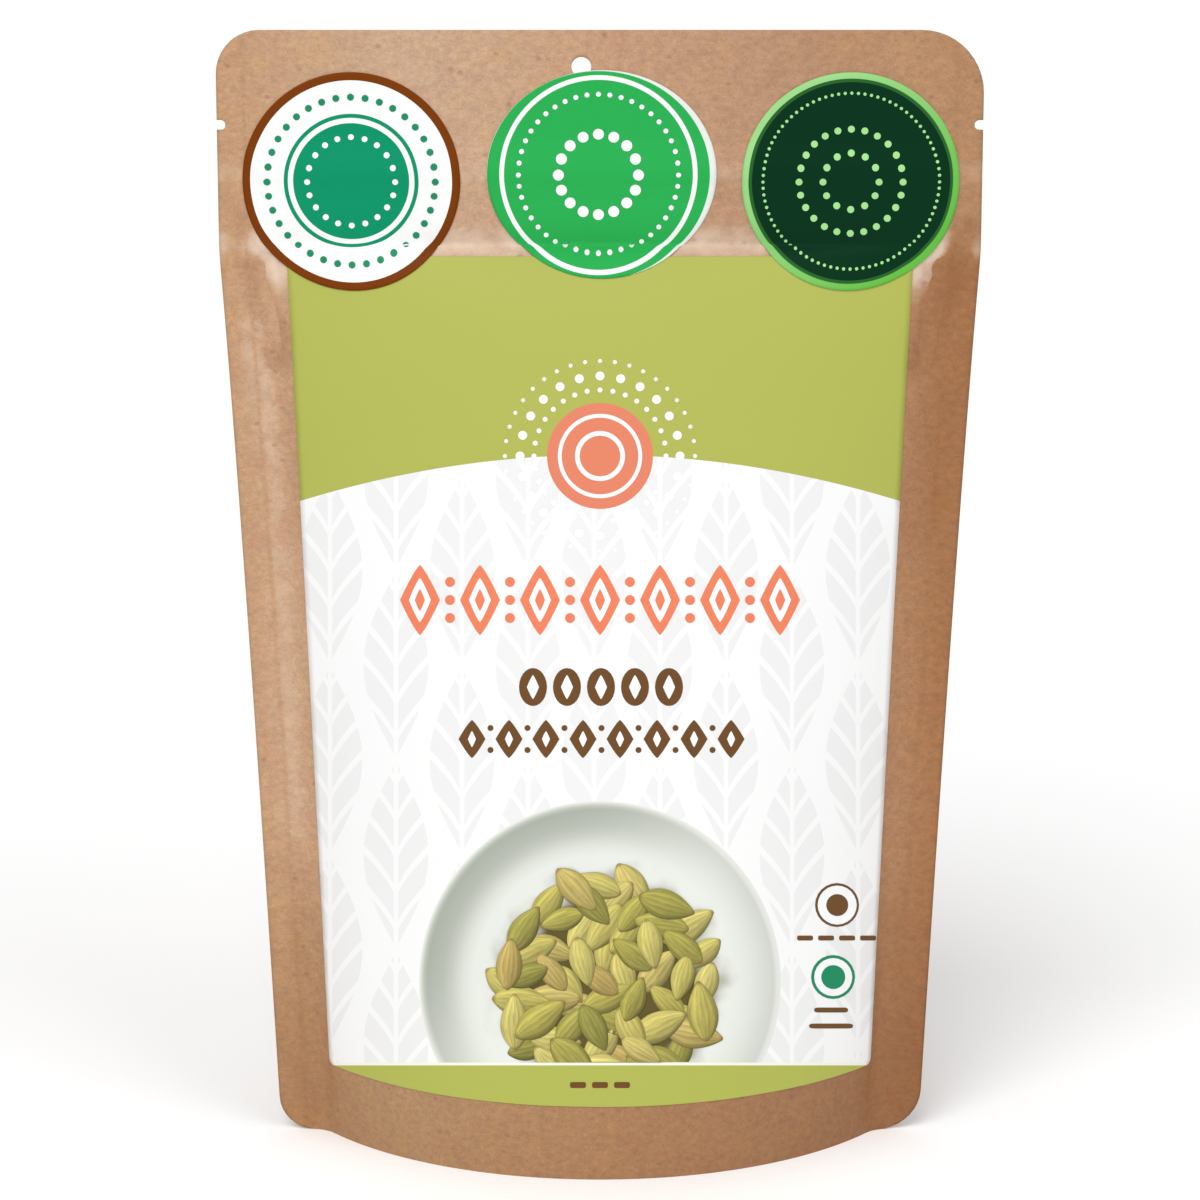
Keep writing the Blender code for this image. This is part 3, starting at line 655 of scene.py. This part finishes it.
def podPrint():
    # the label's picture of dried pods: ribbed along their length, lit from the upper left, each
    # in its own green; it is offset ink, so it has the label's gloss and no relief
    material, tree, shader = newMaterial("offsetPrintedPods")
    mathKind, mixKind = "ShaderNodeMath", "ShaderNodeMix"
    chart = addNode(tree, "ShaderNodeSeparateXYZ", (addNode(tree, "ShaderNodeUVMap", uv_map="pod"),))
    along, over = chart.outputs[0], chart.outputs[1]
    tone, turn = (addNode(tree, "ShaderNodeAttribute", attribute_name=name).outputs["Fac"]
                  for name in ("tone", "turn"))
    body = addNode(tree, "ShaderNodeValToRGB", (tone,))
    setStops(body, [(0.0, "#979448"), (0.25, "#b9af57"), (0.5, "#cbbf68"), (0.8, "#d6ca78"), (1.0, "#c2a860")])
    # lengthwise ribs that close up towards the tips, broken by wrinkles
    shift = addNode(tree, mathKind, (tone, 40.0), operation="MULTIPLY")
    spot = addNode(tree, "ShaderNodeCombineXYZ", (along, addNode(tree, mathKind, (over, 3.6), operation="MULTIPLY"),
                                                  shift))
    wrinkle = addNode(tree, "ShaderNodeTexNoise", {"Vector": spot, "Scale": 1.5, "Detail": 3.0, "Roughness": 0.6})
    rib = addNode(tree, mathKind, (over, 17.0, addNode(tree, mathKind, (wrinkle, 9.0), operation="MULTIPLY")),
                  operation="MULTIPLY_ADD")
    rib = addNode(tree, mathKind, (rib,), operation="SINE")
    rib = addNode(tree, "ShaderNodeMapRange", (rib, -1.0, 1.0, 0.84, 1.08))
    blotch = addNode(tree, "ShaderNodeMapRange", (wrinkle, 0.3, 0.7, 0.80, 1.14))
    # light from the upper left, whichever way the pod lies
    sine, cosine = (addNode(tree, mathKind, (turn,), operation=wave) for wave in ("SINE", "COSINE"))
    overLit = addNode(tree, mathKind, (addNode(tree, mathKind, (sine, -0.6), operation="MULTIPLY"), 1.0,
                                       addNode(tree, mathKind, (cosine, 0.75), operation="MULTIPLY")),
                      operation="MULTIPLY_ADD")
    alongLit = addNode(tree, mathKind, (addNode(tree, mathKind, (cosine, -0.6), operation="MULTIPLY"), 1.0,
                                        addNode(tree, mathKind, (sine, -0.75), operation="MULTIPLY")),
                       operation="MULTIPLY_ADD")
    lit = addNode(tree, mathKind, (overLit, over), operation="MULTIPLY")
    bulge = addNode(tree, mathKind, (along, 0.55), operation="MULTIPLY")
    lit = addNode(tree, mathKind, (alongLit, bulge, lit), operation="MULTIPLY_ADD")
    light = addNode(tree, "ShaderNodeMapRange", (lit, -0.9, 0.9, 0.38, 1.22))
    rim = addNode(tree, mathKind, (over,), operation="ABSOLUTE")
    rim = addNode(tree, "ShaderNodeMapRange", (rim, 0.70, 1.0, 1.0, 0.50))
    shade = addNode(tree, mathKind, (rib, blotch), operation="MULTIPLY")
    shade = addNode(tree, mathKind, (shade, light), operation="MULTIPLY")
    shade = addNode(tree, mathKind, (shade, rim), operation="MULTIPLY")
    ink = addNode(tree, mixKind, {0: 1.0, 6: body, 7: shade}, data_type="RGBA", blend_type="MULTIPLY")
    # the stalk's stub at one tip and the dried flower's at the other
    tip = addNode(tree, mathKind, (along,), operation="ABSOLUTE")
    tip = addNode(tree, "ShaderNodeMapRange", (tip, 0.84, 0.97, 0.0, 0.75))
    ink = addNode(tree, mixKind, {0: tip, 6: ink.outputs[2], 7: linear("#7a5f33")}, data_type="RGBA")
    tree.links.new(ink.outputs[2], shader.inputs["Base Color"])
    shader.inputs["Roughness"].default_value = 0.5
    shader.inputs["Specular IOR Level"].default_value = labelPrint["gloss"]
    return material


def zipPlastic():
    # milky polyethylene, extruded along the zip: faint draw lines along X in its gloss
    material, tree, shader = newMaterial("extrudedPolyethylene")
    place = addNode(tree, "ShaderNodeTexCoord").outputs["Object"]
    drawn = addNode(tree, "ShaderNodeMapping", {"Vector": place, "Scale": (20.0, 1500.0, 1500.0)})
    lines = addNode(tree, "ShaderNodeTexNoise", {"Vector": drawn, "Scale": 1.0, "Detail": 2.0})
    tone = addNode(tree, "ShaderNodeValToRGB", (lines,))
    setStops(tone, [(0.3, "#d9dad4"), (0.7, "#ebebe6")])
    tree.links.new(tone.outputs[0], shader.inputs["Base Color"])
    rough = addNode(tree, "ShaderNodeMapRange", (lines, 0.3, 0.7, 0.28, 0.42))
    tree.links.new(rough.outputs[0], shader.inputs["Roughness"])
    bump = addNode(tree, "ShaderNodeBump", {"Strength": 0.2, "Distance": 0.00003, "Height": lines})
    tree.links.new(bump.outputs[0], shader.inputs["Normal"])
    return material


def podHusk():
    # dried husk of the filling: matt, fibrous along the pods, green going to straw
    material, tree, shader = newMaterial("driedSeedHusk")
    place = addNode(tree, "ShaderNodeTexCoord").outputs["Object"]
    cloud = addNode(tree, "ShaderNodeTexNoise", {"Vector": place, "Scale": 140.0, "Detail": 3.0})
    fibre = addNode(tree, "ShaderNodeMapping", {"Vector": place, "Scale": (250.0, 250.0, 2200.0)})
    fibre = addNode(tree, "ShaderNodeTexNoise", {"Vector": fibre, "Scale": 1.0, "Detail": 2.0})
    both = addNode(tree, "ShaderNodeMath", (fibre, 0.35, cloud), operation="MULTIPLY_ADD")
    tone = addNode(tree, "ShaderNodeValToRGB", (both,))
    setStops(tone, [(0.42, "#7f8748"), (0.66, "#a9a960"), (0.9, "#c4b67a")])
    tree.links.new(tone.outputs[0], shader.inputs["Base Color"])
    shader.inputs["Roughness"].default_value = 0.85
    bump = addNode(tree, "ShaderNodeBump", {"Strength": 0.5, "Distance": 0.0002, "Height": both})
    tree.links.new(bump.outputs[0], shader.inputs["Normal"])
    return material


paperFinish = brownPaper()
print("materials ready")


def spacedRows(low, high):
    # heights 1.3 mm apart, and half that through the relief of the shoulder and the zip
    rows = [low]
    while rows[-1] < high:
        rows.append(rows[-1] + (0.00065 if 0.158 < rows[-1] < 0.191 else 0.0013))
    if high - rows[-2] < 0.0004:
        rows.pop()
    rows[-1] = high
    return rows


def panelRows():
    arc = [max(pouch["footCorner"]) * (1 - math.cos(math.pi / 2 * k / 9)) for k in range(10)]
    corner = max(pouch["topCorner"])
    top = [pouch["height"] - corner * (1 - math.cos(math.pi / 2 * k / 11)) for k in range(11, -1, -1)]
    return arc + spacedRows(arc[-1], top[0])[1:-1] + top


def panelColumns():
    inner = pouch["halfArc"] - 0.008
    side = [inner * k / 42 for k in range(43)]
    side += [inner + 0.001 * k for k in range(1, 7)]
    side += [0.0637, 0.0643, 0.0650, 0.0657, 0.0664, 0.0680, 0.0690, 0.0700]
    return [-s for s in reversed(side[1:])] + side


def makePanel(name, node, side, creases, seed):
    rows, columns = panelRows(), panelColumns()

    def place(i, j):
        z = rows[j]
        hand = columns[i] > 0
        inset = cornerInset(z, pouch["footCorner"][hand])
        inset += cornerInset(pouch["height"] - z, pouch["topCorner"][hand])
        return columns[i] * (pouch["halfWidth"] - inset) / pouch["halfWidth"], z

    piece = flatSheet(name, len(columns) - 1, len(rows) - 1, place, paperFinish)
    if side < 0:
        piece.data.flip_normals()
    tree = bendTree("bend " + name, creases, seed)
    runTree(piece, tree, bendValues(Side=float(side)))
    thicken(piece, pouch["paper"])
    return piece, tree


frontPaper, frontTree = makePanel("front_paper", "front_panel", 1, frontCreases, 0.0)
backPaper, backTree = makePanel("back_paper", "back_panel", -1, backCreases, 3.7)
print("panels bent", len(frontPaper.data.polygons))

punches = {
    "holeRadius": 0.0018, "hole": (-0.0034, 0.2043),
    "notchHeight": 0.1937, "notchRadius": 0.0009, "notchDepth": 0.0016,
}


def makePunch(name, radius, across, height, reach=0.0):
    # a pin along Y; reach draws its outer half out past the paper's edge
    work = bmesh.new()
    bmesh.ops.create_cone(work, cap_ends=True, segments=48, radius1=radius, radius2=radius, depth=0.02,
                          matrix=Matrix.Rotation(math.pi / 2, 4, "X"))
    for vertex in work.verts:
        if vertex.co.x * reach > abs(reach) * radius / 100:
            vertex.co.x += 2 * reach
        vertex.co.x += across
        vertex.co.z += height
    mesh = bpy.data.meshes.new(name)
    work.to_mesh(mesh)
    work.free()
    punch = bpy.data.objects.new(name, mesh)
    bpy.context.scene.collection.objects.link(punch)
    return punch


pins = [makePunch("holePunch", punches["holeRadius"], *punches["hole"])]
for sign in (-1, 1):
    pins.append(makePunch("notchPunch", punches["notchRadius"],
                          sign * (pouch["halfWidth"] - punches["notchDepth"] + punches["notchRadius"]),
                          punches["notchHeight"], sign * punches["notchDepth"]))
for panel in (frontPaper, backPaper):
    for pin in pins:
        cut = panel.modifiers.new("punch", "BOOLEAN")
        cut.operation = "DIFFERENCE"
        cut.solver = "EXACT"
        cut.object = pin
    freeze(panel)
for pin in pins:
    bpy.data.objects.remove(pin)
print("hang hole and tear notches cut")


label = {
    "foot": 0.0140, "top": 0.1697, "halfTop": 0.0576, "halfFoot": 0.0590, "corner": 0.0013,
    "paper": 0.00012, "gap": 0.00004, "cell": 0.0013,
}
stickerSheet = {"paper": 0.00012, "gap": 0.00006, "stepRun": 0.0022, "cells": 60,
                "pixel": 0.000183}  # metres to a pixel of the photograph, at the header


def chartPrint(piece):
    # the print is laid out as the photograph's camera sees the sheet
    chart = piece.data.uv_layers.new(name="print") if "print" not in piece.data.uv_layers else piece.data.uv_layers["print"]
    spots = [photoSpot(vertex.co) for vertex in piece.data.vertices]
    for loop in piece.data.loops:
        across, down = spots[loop.vertex_index]
        chart.data[loop.index].uv = (across / 1200, 1 - down / 1200)


def makeLabel():
    arc = [label["corner"] * (1 - math.cos(math.pi / 2 * k / 5)) for k in range(6)]
    low, high = label["foot"] + arc[-1], label["top"] - arc[-1]
    rows = [label["foot"] + d for d in arc] + spacedRows(low, high)[1:-1]
    rows += [label["top"] - d for d in reversed(arc)]
    across = round(2 * label["halfTop"] / label["cell"])

    def place(i, j):
        z = rows[j]
        share = (z - label["foot"]) / (label["top"] - label["foot"])
        half = label["halfFoot"] + (label["halfTop"] - label["halfFoot"]) * share
        half -= cornerInset(z - label["foot"], label["corner"]) + cornerInset(label["top"] - z, label["corner"])
        return (2 * i / across - 1) * half, z

    piece = flatSheet("front_label_print", across, len(rows) - 1, place, labelPaper())
    lift = pouch["paper"] / 2 + label["gap"] + label["paper"] / 2
    runTree(piece, frontTree, bendValues(Lift=lift))
    thicken(piece, label["paper"])
    chartPrint(piece)
    return piece


frontLabel = makeLabel()


def makeSticker(look):
    cells = stickerSheet["cells"]
    middle, height = look["middle"]
    wide, tall = look["radius"]

    def place(i, j):
        u, v = 2 * i / cells - 1, 2 * j / cells - 1
        return middle + wide * u * math.sqrt(1 - v * v / 2), height + tall * v * math.sqrt(1 - u * u / 2)

    piece = flatSheet(look["piece"], cells, cells, place, stickerPaper(look))
    lift = pouch["paper"] / 2 + stickerSheet["gap"] + stickerSheet["paper"] / 2
    chart = piece.data.uv_layers.new(name="print")
    for loop in piece.data.loops:
        spot = piece.data.vertices[loop.vertex_index].co
        across = look["spot"][0] + (spot.x - middle) / stickerSheet["pixel"]
        down = look["spot"][1] - (spot.z - height) / stickerSheet["pixel"]
        chart.data[loop.index].uv = (across / 1200, 1 - down / 1200)
    bendSticker(piece, lift)
    thicken(piece, stickerSheet["paper"])
    return piece


def bendSticker(piece, lift):
    # stickers lap over the label's top edge
    runTree(piece, frontTree, bendValues(**{
        "Lift": lift, "Step": label["paper"] + stickerSheet["gap"],
        "Step Height": label["top"] + 1.2 * stickerSheet["stepRun"], "Step Run": stickerSheet["stepRun"]}))


stickerPieces = {node: makeSticker(look) for node, look in stickers.items()}
print("label and stickers laid on")


# The marks are drawn flat in the photograph's pixels (X across, -Z down) and then laid on the
# sheet below them, as the camera sees it.

def layPrint(piece, carrier, lift):
    # each point goes where the camera's ray through it meets the carrier, lifted off it
    tree = BVHTree.FromPolygons([v.co for v in carrier.data.vertices],
                                [p.vertices for p in carrier.data.polygons])
    layer = piece.data.attributes.get("layer")
    for vertex in piece.data.vertices:
        spot, normal, _, _ = tree.ray_cast(eye, photoRay(vertex.co.x, -vertex.co.z))
        above = lift + (layer.data[vertex.index].value if layer else 0.0)
        vertex.co = spot + normal * above
    for name in [a.name for a in piece.data.attributes if a.name in ("layer",)]:
        piece.data.attributes.remove(piece.data.attributes[name])
    piece.data.update()


def stripMotif(name, columns, rows, halfWidth, chartName=None):
    # a flat shape one unit long, facing -Y; halfWidth(along) with along from -1 to 1
    points, chart = [], []
    for j in range(rows + 1):
        for i in range(columns + 1):
            along, over = -math.cos(math.pi * i / columns), 2 * j / rows - 1
            points.append((0.5 * along, 0.0, halfWidth(along) * over))
            chart.append((along, over))
    wide = columns + 1
    faces = [(j * wide + i, j * wide + i + 1, (j + 1) * wide + i + 1, (j + 1) * wide + i)
             for j in range(rows) for i in range(columns)]
    piece = newPiece(name, points, faces)
    if chartName:
        layer = piece.data.uv_layers.new(name=chartName)
        for loop in piece.data.loops:
            layer.data[loop.index].uv = chart[loop.vertex_index]
    return piece


def markTree():
    # puts a motif on every point, at the point's own width, height and turn
    tree, given, made = newTree("printed marks", [("Motif", "Object"), ("Finish", "Material")])
    given = given.outputs
    motif = addNode(tree, "GeometryNodeObjectInfo", (given["Motif"],)).outputs["Geometry"]
    wide, tall, turn = (addNode(tree, "GeometryNodeInputNamedAttribute", (name,), data_type="FLOAT").outputs[0]
                        for name in ("wide", "tall", "turn"))
    size = addNode(tree, "ShaderNodeCombineXYZ", (wide, 1.0, tall))
    turned = addNode(tree, "ShaderNodeCombineXYZ", (0.0, turn, 0.0))
    placed = addNode(tree, "GeometryNodeInstanceOnPoints", {
        "Points": given["Geometry"], "Instance": motif, "Rotation": turned, "Scale": size})
    whole = addNode(tree, "GeometryNodeRealizeInstances", (placed,))
    inked = addNode(tree, "GeometryNodeSetMaterial", {"Geometry": whole, "Material": given["Finish"]})
    tree.links.new(inked.outputs[0], made.inputs[0])
    return tree


def ringTree():
    # beads evenly round a circle
    tree, given, made = newTree("ring of beads", [
        ("Count", "Int"), ("Radius", "Float"), ("Bead", "Float"), ("Middle", "Vector"), ("Motif", "Object"),
        ("Finish", "Material")])
    given = given.outputs
    circle = addNode(tree, "GeometryNodeMeshCircle", {"Vertices": given["Count"], "Radius": given["Radius"]})
    upright = addNode(tree, "GeometryNodeTransform", {
        "Geometry": circle, "Translation": given["Middle"], "Rotation": (math.pi / 2, 0, 0)})
    motif = addNode(tree, "GeometryNodeObjectInfo", (given["Motif"],)).outputs["Geometry"]
    placed = addNode(tree, "GeometryNodeInstanceOnPoints", {
        "Points": upright, "Instance": motif, "Scale": given["Bead"]})
    whole = addNode(tree, "GeometryNodeRealizeInstances", (placed,))
    inked = addNode(tree, "GeometryNodeSetMaterial", {"Geometry": whole, "Material": given["Finish"]})
    tree.links.new(inked.outputs[0], made.inputs[0])
    return tree


def scatterTree():
    # pods scattered over a patch, each with its own turn, size, tone and layer
    tree, given, made = newTree("scattered pods", [
        ("Spacing", "Float"), ("Length", "Float"), ("Seed", "Int"), ("Layer", "Float"), ("Motif", "Object"),
        ("Finish", "Material")])
    given = given.outputs
    points = addNode(tree, "GeometryNodeDistributePointsOnFaces", {
        "Mesh": given["Geometry"], "Distance Min": given["Spacing"], "Density Max": 1.0,
        "Seed": given["Seed"]}, distribute_method="POISSON")
    motif = addNode(tree, "GeometryNodeObjectInfo", (given["Motif"],)).outputs["Geometry"]
    turn = addNode(tree, "FunctionNodeRandomValue", {2: 0.0, 3: math.tau, "Seed": given["Seed"]},
                   data_type="FLOAT").outputs[1]
    grow = addNode(tree, "FunctionNodeRandomValue", {2: 0.84, 3: 1.14, "Seed": 5},
                   data_type="FLOAT").outputs[1]
    size = addNode(tree, "ShaderNodeMath", (grow, given["Length"]), operation="MULTIPLY")
    placed = addNode(tree, "GeometryNodeInstanceOnPoints", {
        "Points": points, "Instance": motif, "Scale": size,
        "Rotation": addNode(tree, "ShaderNodeCombineXYZ", (0.0, turn, 0.0))})
    tone = addNode(tree, "FunctionNodeRandomValue", {2: 0.0, 3: 1.0, "Seed": 9}, data_type="FLOAT").outputs[1]
    toned = addNode(tree, "GeometryNodeStoreNamedAttribute", {
        "Geometry": placed, "Name": "tone", "Value": tone}, data_type="FLOAT", domain="INSTANCE")
    rank = addNode(tree, "ShaderNodeMath", (addNode(tree, "GeometryNodeInputIndex"), given["Layer"]),
                   operation="MULTIPLY")
    turned = addNode(tree, "GeometryNodeStoreNamedAttribute", {
        "Geometry": toned, "Name": "turn", "Value": turn}, data_type="FLOAT", domain="INSTANCE")
    layered = addNode(tree, "GeometryNodeStoreNamedAttribute", {
        "Geometry": turned, "Name": "layer", "Value": rank}, data_type="FLOAT", domain="INSTANCE")
    whole = addNode(tree, "GeometryNodeRealizeInstances", (layered,))
    inked = addNode(tree, "GeometryNodeSetMaterial", {"Geometry": whole, "Material": given["Finish"]})
    tree.links.new(inked.outputs[0], made.inputs[0])
    return tree


def markPoints(name, marks):
    # a cloud of points that carries each mark's (across, down, wide, tall, turn)
    piece = newPiece(name, [(m[0], 0.0, -m[1]) for m in marks], [])
    for slot, label in ((2, "wide"), (3, "tall"), (4, "turn")):
        piece.data.attributes.new(label, "FLOAT", "POINT").data.foreach_set("value", [m[slot] for m in marks])
    return piece


def joinPieces(name, pieces):
    work = bmesh.new()
    finishes = []
    for piece in pieces:
        start = len(work.faces)
        work.from_mesh(piece.data)
        work.faces.ensure_lookup_table()
        finish = piece.data.materials[0]
        if finish not in finishes:
            finishes.append(finish)
        for face in work.faces[start:]:
            face.material_index = finishes.index(finish)
    mesh = bpy.data.meshes.new(name)
    work.to_mesh(mesh)
    work.free()
    for finish in finishes:
        mesh.materials.append(finish)
    for piece in pieces:
        bpy.data.objects.remove(piece)
    joined = bpy.data.objects.new(name, mesh)
    bpy.context.scene.collection.objects.link(joined)
    return joined


inks = {
    "coral": printInk("coralOffsetInk", "#e27c59"), "brown": printInk("brownOffsetInk", "#67441f"),
    "green": printInk("greenOffsetInk", "#0a8459"), "white": printInk("whiteOffsetInk", "#ededed"),
    "lightGreen": printInk("lightGreenStickerInk", "#9ad588"),
    "pods": podPrint(),
}
edge = 0.004  # half width of a strip's ends, so that they don't close to a point
motifs = {
    "bead": stripMotif("beadMotif", 12, 4, lambda t: max(0.5 * math.sqrt(max(1 - t * t, 0)), edge)),
    "lozenge": stripMotif("lozengeMotif", 12, 2, lambda t: max(0.5 * (1 - abs(t)) ** 0.8, edge)),
    "bar": stripMotif("barMotif", 24, 1, lambda t: max(0.5 * (1 - abs(t) ** 12) ** 0.4, edge)),
    "pod": stripMotif("podMotif", 16, 6, lambda t: 0.235 * max(1 - abs(t) ** 2, 0) ** 0.9 * (1 - 0.2 * t) + 0.018,
                      "pod"),
}
trees = {"marks": markTree(), "ring": ringTree(), "scatter": scatterTree()}
markLift = 0.00003

# generic ornament in the places of the pack's words: (ink, motif, marks)
ornament = [
    ("coral", "lozenge", [(420 + 60 * k, 600, 70, 40, math.pi / 2) for k in range(7)]),
    ("coral", "bead", [(450 + 60 * k, 600 + side, 10, 10, 0.0) for k in range(6) for side in (-18, 0, 18)]),
    ("brown", "bead", [(533 + 34 * k, 687, 28, 38, 0.0) for k in range(5)]),
    ("brown", "lozenge", [(472 + 37 * k, 739, 38, 27, math.pi / 2) for k in range(8)]),
    ("brown", "bead", [(490.5 + 37 * k, 739 + side, 6, 6, 0.0) for k in range(7) for side in (-11, 11)]),
    ("brown", "bead", [(837, 905, 44, 44, 0.0)]),
    ("green", "bead", [(833, 977, 44, 44, 0.0)]),
    ("brown", "bar", [(805 + 21 * k, 938, 16, 5, 0.0) for k in range(4)] + [(831, 1010, 34, 5, 0.0),
                      (831, 1026, 44, 5, 0.0)] + [(578 + 22 * k, 1085, 16, 6, 0.0) for k in range(3)]),
]
overlay = [
    ("white", "bead", [(837, 905, 39, 39, 0.0), (833, 977, 38, 38, 0.0)]),
    ("white", "lozenge", [(420 + 60 * k, 600, 44, 22, math.pi / 2) for k in range(7)]),
    ("white", "lozenge", [(533 + 34 * k, 687, 24, 12, math.pi / 2) for k in range(5)]),
    ("white", "lozenge", [(472 + 37 * k, 739, 16, 8, math.pi / 2) for k in range(8)]),
]
topping = [
    ("brown", "bead", [(837, 905, 22, 22, 0.0)]),
    ("coral", "lozenge", [(420 + 60 * k, 600, 22, 10, math.pi / 2) for k in range(7)]),
    ("green", "bead", [(833, 977, 24, 24, 0.0)]),
]
labelRings = [
    # ink, count, radius, bead, middle
    ("white", 32, 66.0, 5.0, (600, 456)),
    ("white", 24, 80.0, 9.0, (600, 456)),
    ("white", 40, 95.0, 4.0, (600, 456)),
]
stickerRings = [
    # carrier, ink, count, radius, bead
    ("left_sticker", "green", 36, 84.0, 7.0),
    ("left_sticker", "white", 20, 44.0, 6.0),
    ("middle_sticker", "white", 44, 80.0, 5.0),
    ("middle_sticker", "white", 16, 40.0, 11.0),
    ("right_sticker", "lightGreen", 84, 88.0, 3.2),
    ("right_sticker", "lightGreen", 24, 52.0, 7.0),
    ("right_sticker", "lightGreen", 12, 28.0, 7.0),
]


def layMarks(rows, lift):
    made = []
    for ink, motif, marks in rows:
        piece = markPoints("marks", marks)
        runTree(piece, trees["marks"], {"Motif": motifs[motif], "Finish": inks[ink]})
        layPrint(piece, frontLabel, lift)
        made.append(piece)
    return made


labelMarks = layMarks(ornament, markLift) + layMarks(overlay, 2 * markLift) + layMarks(topping, 3 * markLift)
for ink, count, radius, bead, middle in labelRings:
    piece = newPiece("beadRing", [], [])
    runTree(piece, trees["ring"], {
        "Count": count, "Radius": radius, "Bead": bead, "Middle": (middle[0], 0.0, -middle[1]),
        "Motif": motifs["bead"], "Finish": inks[ink]})
    layPrint(piece, frontLabel, markLift)
    labelMarks.append(piece)
# the stickers' rings are drawn on the flat sheet and bent with it
stickerMarks = {node: [] for node in stickers}
for node, ink, count, radius, bead in stickerRings:
    look = stickers[node]
    pixel = stickerSheet["pixel"]
    x, y = look.get("ringSpot", look["spot"])
    piece = newPiece(node + "_ring", [], [])
    runTree(piece, trees["ring"], {
        "Count": count, "Radius": radius * pixel, "Bead": bead * pixel,
        "Middle": (look["middle"][0] + (x - look["spot"][0]) * pixel, 0.0,
                   look["middle"][1] - (y - look["spot"][1]) * pixel),
        "Motif": motifs["bead"], "Finish": inks[ink]})
    bendSticker(piece, pouch["paper"] / 2 + stickerSheet["gap"] + stickerSheet["paper"] + 2 * markLift)
    stickerMarks[node].append(piece)
labelOrnament = joinPieces("label_ornament_print", labelMarks)
stickerBeads = {node: joinPieces(node + "_beads", made) for node, made in stickerMarks.items()}

podPicture = {"middle": (607, 984), "radius": 100, "spacing": 20.5, "length": 54.0, "seed": 11,
              "layer": 0.000003, "cut": 1062.0}
x, y = podPicture["middle"]
ring = [2 * math.pi * k / 40 for k in range(40)]
patch = newPiece("label_pod_print", [(x + podPicture["radius"] * math.cos(t), 0, -y + podPicture["radius"]
                                      * math.sin(t)) for t in ring], [tuple(range(40))])
runTree(patch, trees["scatter"], {
    "Spacing": podPicture["spacing"], "Length": podPicture["length"], "Seed": podPicture["seed"],
    "Layer": podPicture["layer"], "Motif": motifs["pod"], "Finish": inks["pods"]})
work = bmesh.new()
work.from_mesh(patch.data)
bmesh.ops.bisect_plane(work, geom=work.verts[:] + work.edges[:] + work.faces[:],
                       plane_co=(0, 0, -podPicture["cut"]), plane_no=(0, 0, -1), clear_outer=True)
work.to_mesh(patch.data)
work.free()
layPrint(patch, frontLabel, markLift)
for motif in motifs.values():
    bpy.data.objects.remove(motif)
print("printed marks laid on", len(patch.data.polygons), "pod faces")


def makeGusset():
    # the CAD sheet's shape, merged and made smoother
    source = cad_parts["bottom_gusset"].data
    piece = bpy.data.objects.new("gusset_paper", source.copy())
    bpy.context.scene.collection.objects.link(piece)
    piece.data.materials.clear()
    piece.data.materials.append(paperFinish)
    work = bmesh.new()
    work.from_mesh(piece.data)
    bmesh.ops.remove_doubles(work, verts=work.verts, dist=1e-6)
    work.to_mesh(piece.data)
    work.free()
    piece.data.shade_smooth()
    piece.data.set_sharp_from_angle(angle=math.radians(40))
    return piece


gussetPaper = makeGusset()

# the CAD's own solids that stay inside the pouch get their finishes
for names, finish in ((("zip_rib_track", "zip_groove_track"), zipPlastic()), (("cardamom_pods",), podHusk())):
    for name in names:
        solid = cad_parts[name].data
        for k in range(len(solid.materials)):
            solid.materials[k] = finish

for piece, node, slot in (
    (frontPaper, "front_panel", "brown_paper"), (backPaper, "back_panel", "brown_paper"),
    (gussetPaper, "bottom_gusset", "brown_paper"), (frontLabel, "front_label", "label_paper"),
    *((stickerPieces[node], node, look["slot"]) for node, look in stickers.items()),
):
    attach(piece, "root")
    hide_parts(node)
for piece, slot in ((labelOrnament, "label_paper"), (patch, "label_paper"),
                    *((stickerBeads[node], stickers[node]["slot"]) for node in stickerBeads)):
    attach(piece, "root")

studio = {
    "floor": 8.0,
    "world": 0.60,
    # large softboxes: (power, degrees across, from)
    "key": (1.52, 36.0, (-0.32, -0.85, 0.96)),
    "fill": (0.50, 34.0, (0.78, -0.82, 0.78)),
}
half = studio["floor"] / 2
floor = newPiece("studioFloor", [(-half, -half, 0), (half, -half, 0), (half, half, 0), (-half, half, 0)],
                 [(0, 1, 2, 3)])
floorMaterial, floorTree, floorShader = newMaterial("mattWhiteSweep")
floorShader.inputs["Base Color"].default_value = linear("#ffffff")
floorShader.inputs["Roughness"].default_value = 0.9
floorShader.inputs["Specular IOR Level"].default_value = 0.0
floor.data.materials.append(floorMaterial)

world = bpy.data.worlds.new("softRoom")
world.use_nodes = True
world.node_tree.nodes["Background"].inputs["Color"].default_value = (1, 1, 1, 1)
world.node_tree.nodes["Background"].inputs["Strength"].default_value = studio["world"]
bpy.context.scene.world = world
for name in ("key", "fill"):
    power, angle, spot = studio[name]
    lampData = bpy.data.lights.new(name + "Light", "SUN")
    lampData.energy = power
    lampData.angle = math.radians(angle)
    lamp = bpy.data.objects.new(name + "Light", lampData)
    bpy.context.scene.collection.objects.link(lamp)
    lamp.matrix_world = Matrix.Translation(spot) @ (-Vector(spot)).to_track_quat("-Z", "Y").to_matrix().to_4x4()
bpy.context.scene.view_settings.view_transform = "Standard"
bpy.context.scene.view_settings.look = "None"
print("studio ready")
